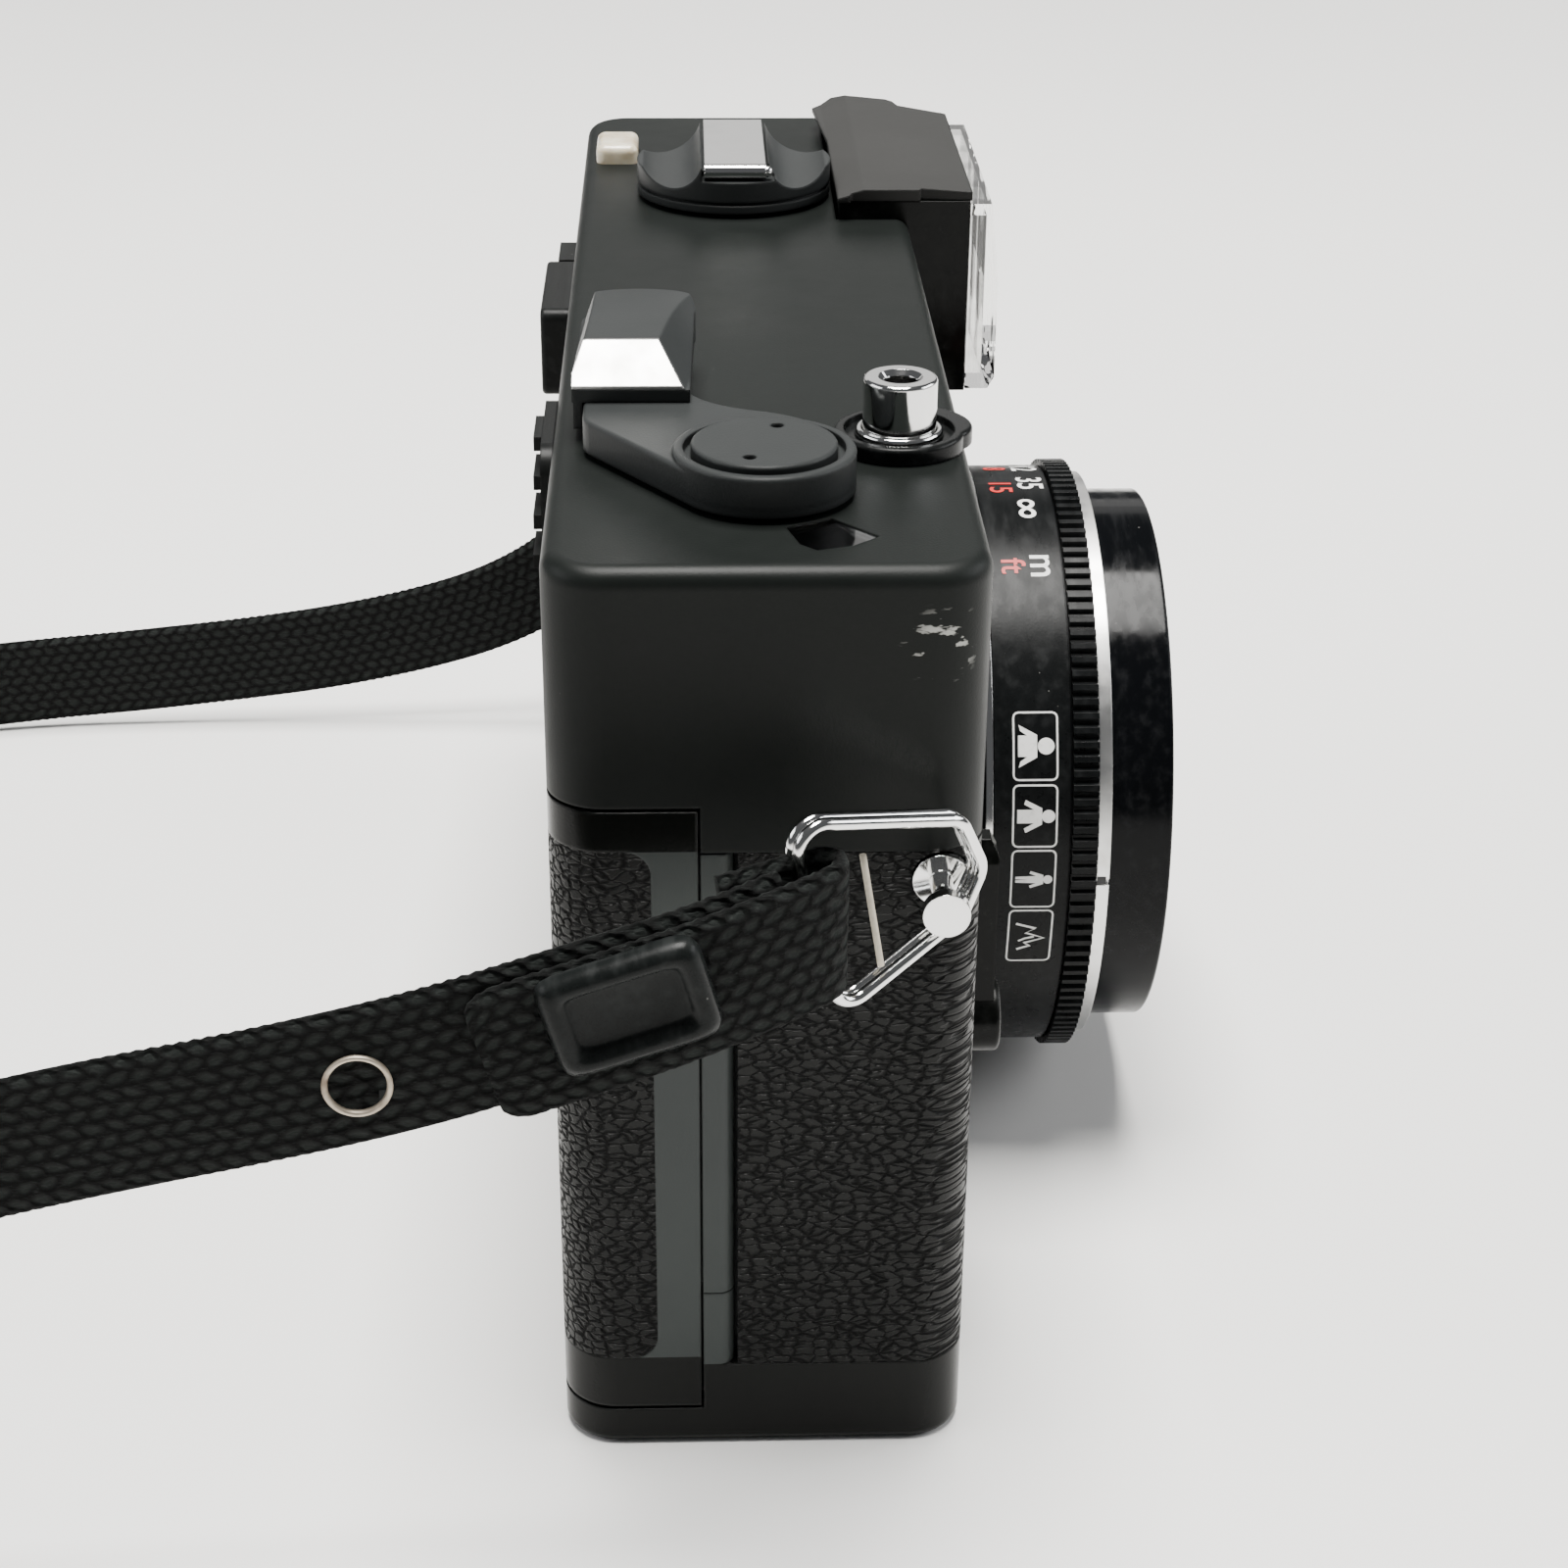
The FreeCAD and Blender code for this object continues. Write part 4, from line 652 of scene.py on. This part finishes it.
def make_eyelet(rim_material, dark_material):
    """A turned eyelet on each face of the webbing, its middle dark."""
    pieces = []
    for name, lift in (("eyelet_outer", -1.0), ("eyelet_inner", 1.0)):
        centre = Vector((-82.55, 28.9, 46.1)) * MM
        out = Vector((0.996 * lift, 0.06 * lift, 0)).normalized()
        along = out.cross(UP).normalized()
        profile = [(2.45, 0.5), (2.5, 0.85), (2.36, 1.02), (2.18, 0.98), (2.06, 0.75), (2.02, 0.45)]
        points, faces, count = [], [], 40
        for radius, height in profile:
            for k in range(count):
                turn = 2 * math.pi * k / count
                spread = along * math.cos(turn) + UP * math.sin(turn)
                points.append(centre + (spread * radius + out * height) * MM)
        faces.extend(faces_between_rings(len(profile) - 1, count))
        pieces.append(mesh_object(name, points, faces, rim_material, slot="steel"))
        turns = [2 * math.pi * k / count for k in range(count)]
        middle = [centre + (along * math.cos(turn) + UP * math.sin(turn)) * 2.05 * MM + out * 0.62 * MM
                  for turn in turns]
        pieces.append(mesh_object(name + "_middle", middle, [tuple(range(count))], dark_material,
                                  slot="keeper_black"))
    return pieces


# ---- printed marks ----
def barrel_point(across, along, angle, y, lift=0.03 * MM):
    """A label's point on the focusing barrel: its top points forward, its right side down."""
    turn = math.radians(angle) - across / BARREL_R
    radius = BARREL_R + lift
    return Vector((-radius * math.cos(turn), y - along, LENS_Z + radius * math.sin(turn)))


def stroke_faces(line, width, closed=False):
    """Quads along a flat line, as points and faces."""
    points, faces, count = [], [], len(line)
    for k, (x, y) in enumerate(line):
        before = line[k - 1] if closed or k else line[0]
        after = line[(k + 1) % count] if closed or k < count - 1 else line[-1]
        dx, dy = after[0] - before[0], after[1] - before[1]
        size = math.hypot(dx, dy) or 1.0
        nx, ny = -dy / size * width / 2, dx / size * width / 2
        points += [(x + nx, y + ny), (x - nx, y - ny)]
    for k in range(count if closed else count - 1):
        a, b = 2 * k, 2 * ((k + 1) % count)
        faces.append((a, a + 1, b + 1, b))
    return points, faces


def rounded_frame(width, height, radius, per_side=7):
    """The outline of a round-cornered frame, as a flat line."""
    line = []
    corners = [(width / 2 - radius, height / 2 - radius, 0), (radius - width / 2, height / 2 - radius, 90),
               (radius - width / 2, radius - height / 2, 180), (width / 2 - radius, radius - height / 2, 270)]
    for n, (cx, cy, start) in enumerate(corners):
        for k in range(4):
            turn = math.radians(start + 30 * k)
            line.append((cx + radius * math.cos(turn), cy + radius * math.sin(turn)))
        following = corners[(n + 1) % 4]
        turn = math.radians(start + 90)
        end = (following[0] + radius * math.cos(turn), following[1] + radius * math.sin(turn))
        for k in range(1, per_side):
            share = k / per_side
            line.append((line[-k][0] * 0 + (cx + radius * math.cos(turn)) * (1 - share) + end[0] * share,
                         (cy + radius * math.sin(turn)) * (1 - share) + end[1] * share))
    return line


def disc(cx, cy, radius, count=20):
    turns = [2 * math.pi * k / count for k in range(count)]
    points = [(cx + radius * math.cos(turn), cy + radius * math.sin(turn)) for turn in turns]
    return points, [tuple(range(count))]


def polygon(points):
    return list(points), [tuple(range(len(points)))]


def collect(parts):
    points, faces = [], []
    for some_points, some_faces in parts:
        faces += [tuple(i + len(points) for i in face) for face in some_faces]
        points += some_points
    return points, faces


def zone_signs():
    """Four focusing signs: head and shoulders, half figure, whole figure, mountains."""
    half = 1.95
    portrait = [disc(0, 0.95, 0.75), polygon([(-1.0, 0.15), (1.0, 0.15), (1.9, -1.5), (1.35, -1.35),
                (0.95, -0.75), (0.95, -1.55), (-0.95, -1.55), (-0.95, -0.75), (-1.35, -1.35), (-1.9, -1.5)])]
    group = [disc(0, 1.2, 0.6), polygon([(-0.75, 0.62), (0.75, 0.62), (1.5, -0.85), (1.1, -1.0),
             (0.62, -0.1), (0.62, -1.6), (-0.62, -1.6), (-0.62, -0.1), (-1.1, -1.0), (-1.5, -0.85)])]
    figure = [disc(0, 1.3, 0.42), polygon([(-0.45, 0.9), (0.45, 0.9), (0.85, -0.25), (0.6, -0.35),
              (0.36, 0.25), (0.3, -1.6), (0.05, -1.6), (0.0, -0.5), (-0.05, -1.6), (-0.3, -1.6),
              (-0.36, 0.25), (-0.6, -0.35), (-0.85, -0.25)])]
    peaks = [stroke_faces([(-1.5, -1.3), (-0.95, 0.5), (-0.45, -0.4), (0.15, 1.3), (0.75, -0.5),
                           (1.05, 0.1), (1.5, -1.1)], 0.24),
             stroke_faces([(0.0, 0.4), (0.2, -0.4), (0.5, -1.0)], 0.2)]
    return [(27.1, 6.0, portrait), (14.25, 5.6, group), (2.0, 5.6, figure), (-10.6, 5.9, peaks)], half


def make_index_mark(black):
    """The fixed black index on the silver ring."""
    points = []
    for y in (-31.6, -30.8):
        for k in range(4):
            turn = math.radians(1.8 - 0.5 * k)
            points.append(Vector((-27.44 * math.cos(turn), y, 30.6 + 27.44 * math.sin(turn))) * MM)
    faces = [(k, k + 1, k + 5, k + 4) for k in range(3)]
    mesh_object("index_mark", points, faces, black, slot="keeper_black", smooth=False)


def make_button_foot(chrome):
    """The plated ring in the collar's dish, round the button's foot."""
    profile = [(2.98, 78.40), (2.98, 78.75), (3.1, 78.85), (3.3, 78.8), (3.42, 78.6), (3.42, 78.36)]
    points, faces, count = [], [], 48
    for radius, height in profile:
        for k in range(count):
            turn = 2 * math.pi * k / count
            place = (BUTTON_X + radius * math.cos(turn), BUTTON_Y + radius * math.sin(turn), height)
            points.append(Vector(place) * MM)
    faces.extend(faces_between_rings(len(profile) - 1, count))
    mesh_object("button_foot", points, faces, chrome, slot="chrome")


def make_ring_guard(cream):
    """The pale edge of the fibre guard that stands behind the near strap ring."""
    low, high = Vector((-73.0, -8.1, 49.3)) * MM, Vector((-73.0, -6.6, 58.4)) * MM
    line = [low.lerp(high, k / 12) for k in range(13)]
    make_wire("ring_guard", line, 0.26 * MM, cream, slot="silver")


def make_marks(white, red):
    y_mid = -24.95 * MM
    signs, half = zone_signs()
    for n, (angle, width, parts) in enumerate(signs):
        outline = stroke_faces(rounded_frame(width, 2 * half, 0.45), 0.17, closed=True)
        points, faces = collect([outline] + parts)
        placed = [barrel_point(x * MM, y * MM, angle, y_mid) for x, y in points]
        mesh_object(f"zone_sign_{n + 1}", placed, faces, white, body="focus", slot="silver", smooth=False)
    labels = [
        ("mark_metres", "m", 63.0, -26.4, 3.7, white), ("mark_feet", "ft", 63.0, -23.6, 3.1, red),
        ("mark_infinity", "∞", 79.5, -25.6, 3.8, white), ("mark_far", "35", 90.5, -26.3, 3.4, white),
        ("mark_far_feet", "15", 88.5, -23.5, 3.0, red), ("mark_middle", "12", 102.0, -26.3, 3.4, white),
        ("mark_middle_feet", "8", 101.0, -23.5, 3.0, red), ("mark_close", "5", 114.0, -26.3, 3.4, white),
        ("mark_closer", "3", 126.0, -26.3, 3.4, white), ("mark_closest", "1.1", 138.0, -26.3, 3.4, white),
    ]
    for name, text, angle, y, size, ink in labels:
        make_label(name, text, angle, y * MM, size * MM, ink)


def make_label(name, text, angle, y, size, ink):
    data = bpy.data.curves.new(name + "_text", "FONT")
    data.body, data.size, data.align_x, data.align_y = text, size, "CENTER", "CENTER"
    data.resolution_u, data.offset = 4, 0.012 * size
    holder = bpy.data.objects.new(name + "_text", data)
    bpy.context.scene.collection.objects.link(holder)
    flat = bpy.data.meshes.new_from_object(holder)
    points = [barrel_point(v.co.x, v.co.y, angle, y) for v in flat.vertices]
    faces = [tuple(p.vertices) for p in flat.polygons]
    bpy.data.objects.remove(holder)
    bpy.data.meshes.remove(flat)
    mesh_object(name, points, faces, ink, body="focus", slot="silver", smooth=False)


# ---- finishes for the CAD nodes ----
def finish_nodes(looks):
    cover, gloss, satin = looks["cover"], looks["gloss"], looks["satin"]
    chrome, steel, silver = looks["chrome"], looks["steel"], looks["silver"]
    plan = {
        "top_cover": cover, "base_cover": looks["base"], "body_casting": looks["casting"],
        "front_leather": looks["leather"], "door_leather": looks["leather"], "back_door": looks["door"],
        "film_gate": steel, "hinge_pin": steel, "pressure_plate": satin, "take_up_spool": satin,
        "film_sprocket": satin, "transfer_gear": looks["brass"], "advance_lever": looks["lever"],
        "lever_tip": looks["lever"], "lever_trim": looks["trim"], "lever_cap": looks["lever"],
        "counter_dial": looks["dial"], "counter_window": looks["smoked"], "release_collar": looks["dish"],
        "shutter_button": chrome, "button_spring": steel, "rewind_sleeve": steel, "rewind_shaft": steel,
        "rewind_knob": looks["lever"], "rewind_crank": chrome, "flash_housing": gloss,
        "flash_cover": looks["flash_roof"], "flash_window": looks["flash_clear"],
        "flash_reflector": looks["mirror"], "flash_tube": looks["window"],
        "flash_capacitor": looks["sleeve"], "ready_lamp": looks["lamp"], "battery_cells": looks["cells"],
        "battery_hatch": gloss, "viewfinder_block": satin, "viewfinder_window": looks["window"],
        "eyepiece_frame": satin, "eyepiece_lens": looks["window"], "thumb_rest": satin,
        "lens_barrel": satin, "trim_ring": chrome, "focus_ring": looks["barrel"],
        "index_ring": silver, "front_ring": looks["ring"], "lens_cell": satin,
        "front_lens": looks["glass"], "rear_lens": looks["glass"], "shutter_housing": satin,
        "shutter_blade_near": steel, "shutter_blade_far": steel, "self_timer_lever": gloss,
        "tripod_socket": chrome, "rewind_release": chrome, "base_screws": looks["screw"],
        "strap_lugs": chrome, "strap_rings": chrome,
    }
    for name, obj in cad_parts.items():
        if name in plan:
            obj.data.materials.clear()
            obj.data.materials.append(plan[name])


def make_looks():
    return {
        "cover": enamel("cover_enamel", (0.0055, 0.0068, 0.0061), (0.0078, 0.0094, 0.0087), 0.44, 0.9,
                        chips=[((-0.0655, -0.0125, 0.0715), 0.0035)]),
        "door": enamel("door_enamel", (0.038, 0.043, 0.042), (0.044, 0.05, 0.048), 0.36, 0.3,
                       gloss=("Z", 0.0087, 0.0550)),
        "base": enamel("base_enamel", (0.038, 0.043, 0.042), (0.044, 0.05, 0.048), 0.36, 0.3,
                       gloss=("Z", 0.00795, 0.02)),
        "casting": enamel("casting_black", (0.03, 0.033, 0.033), (0.045, 0.048, 0.048), 0.45, 0.3),
        "lever": enamel("lever_enamel", (0.02, 0.022, 0.022), (0.027, 0.029, 0.029), 0.4, 0.5),
        "flash_roof": enamel("flash_roof_black", (0.02, 0.02, 0.019), (0.027, 0.027, 0.026), 0.4, 0.3),
        "gloss": glossy("gloss_moulding", (0.003, 0.0034, 0.003), 0.16),
        "ring": glossy("front_ring_black", (0.0022, 0.0025, 0.003), 0.1),
        "satin": glossy("satin_moulding", (0.006, 0.0065, 0.0063), 0.34, grain=0.15),
        "barrel": glossy("barrel_anodised", (0.0045, 0.005, 0.0052), 0.26, grain=0.08,
                         edge=0.00006, dust=0.6),
        "leather": leatherette(),
        "webbing": webbing(),
        "chrome": metal("chrome_plate", (0.78, 0.78, 0.77), 0.07, wear=0.12),
        "trim": metal("lever_trim_plate", (0.5, 0.5, 0.49), 0.3, wear=0.2),
        "steel": metal("satin_steel", (0.5, 0.5, 0.5), 0.3, (1, 1, 0.1)),
        "silver": metal("silver_anodised", (0.72, 0.72, 0.71), 0.28, (1, 0.1, 1), wear=0.3),
        "screw": metal("blackened_screw", (0.08, 0.08, 0.085), 0.35),
        "brass": metal("gear_brass", (0.7, 0.5, 0.22), 0.3),
        "mirror": metal("reflector_mirror", (0.88, 0.88, 0.88), 0.05, wear=0.05),
        "rust": metal("eyelet_worn", (0.5, 0.44, 0.36), 0.45, tarnish=(0.1, 0.03, 0.01), wear=0.95),
        "window": clear("window_glass", (0.9, 0.92, 0.92)),
        "smoked": clear("smoked_window", (0.16, 0.165, 0.16), 0.06),
        "lamp": milky(),
        "dish": glossy("collar_moulding", (0.006, 0.0065, 0.0065), 0.2, grain=0.05),
        "flash_clear": clear("flash_moulding", (0.97, 0.97, 0.96), 0.03, ribs=45.0),
        "glass": coated_glass(),
        "dial": dial(),
        "cells": battery_jacket(),
        "sleeve": glossy("capacitor_sleeve", (0.02, 0.025, 0.07), 0.25),
        "keeper": glossy("keeper_moulding", (0.006, 0.007, 0.0068), 0.24, grain=0.12),
        "black": printed("black_fill", (0.006, 0.006, 0.006)),
        "cream": printed("cream_fibre", (0.55, 0.5, 0.4)),
        "white": printed("white_fill", (0.82, 0.82, 0.8)),
        "red": printed("red_fill", (0.55, 0.02, 0.015)),
    }


def make_floor():
    size = 3.0
    points = [(-size, -size, 0), (size, -size, 0), (size, size, 0), (-size, size, 0)]
    mesh = bpy.data.meshes.new("floor")
    mesh.from_pydata(points, [], [(0, 1, 2, 3)])
    floor = bpy.data.objects.new("floor", mesh)
    bpy.context.scene.collection.objects.link(floor)
    floor.data.materials.append(floor_paper())
    floor.location.z = -0.0001


make_camera()
looks = make_looks()
line = strap_line()
strap = make_band("strap", line, looks["webbing"])
tail = make_band("strap_tail", tail_line(), looks["webbing"], end_round=2.5 * MM)
keeper = make_keeper(looks["keeper"])
eyelets = make_eyelet(looks["rust"], looks["keeper"])
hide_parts("strap_near", "strap_coil", "strap_far")
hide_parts("strap_fittings")
finish_nodes(looks)
make_marks(looks["white"], looks["red"])
make_index_mark(looks["black"])
make_ring_guard(looks["cream"])
make_button_foot(looks["chrome"])
make_floor()
make_lights()
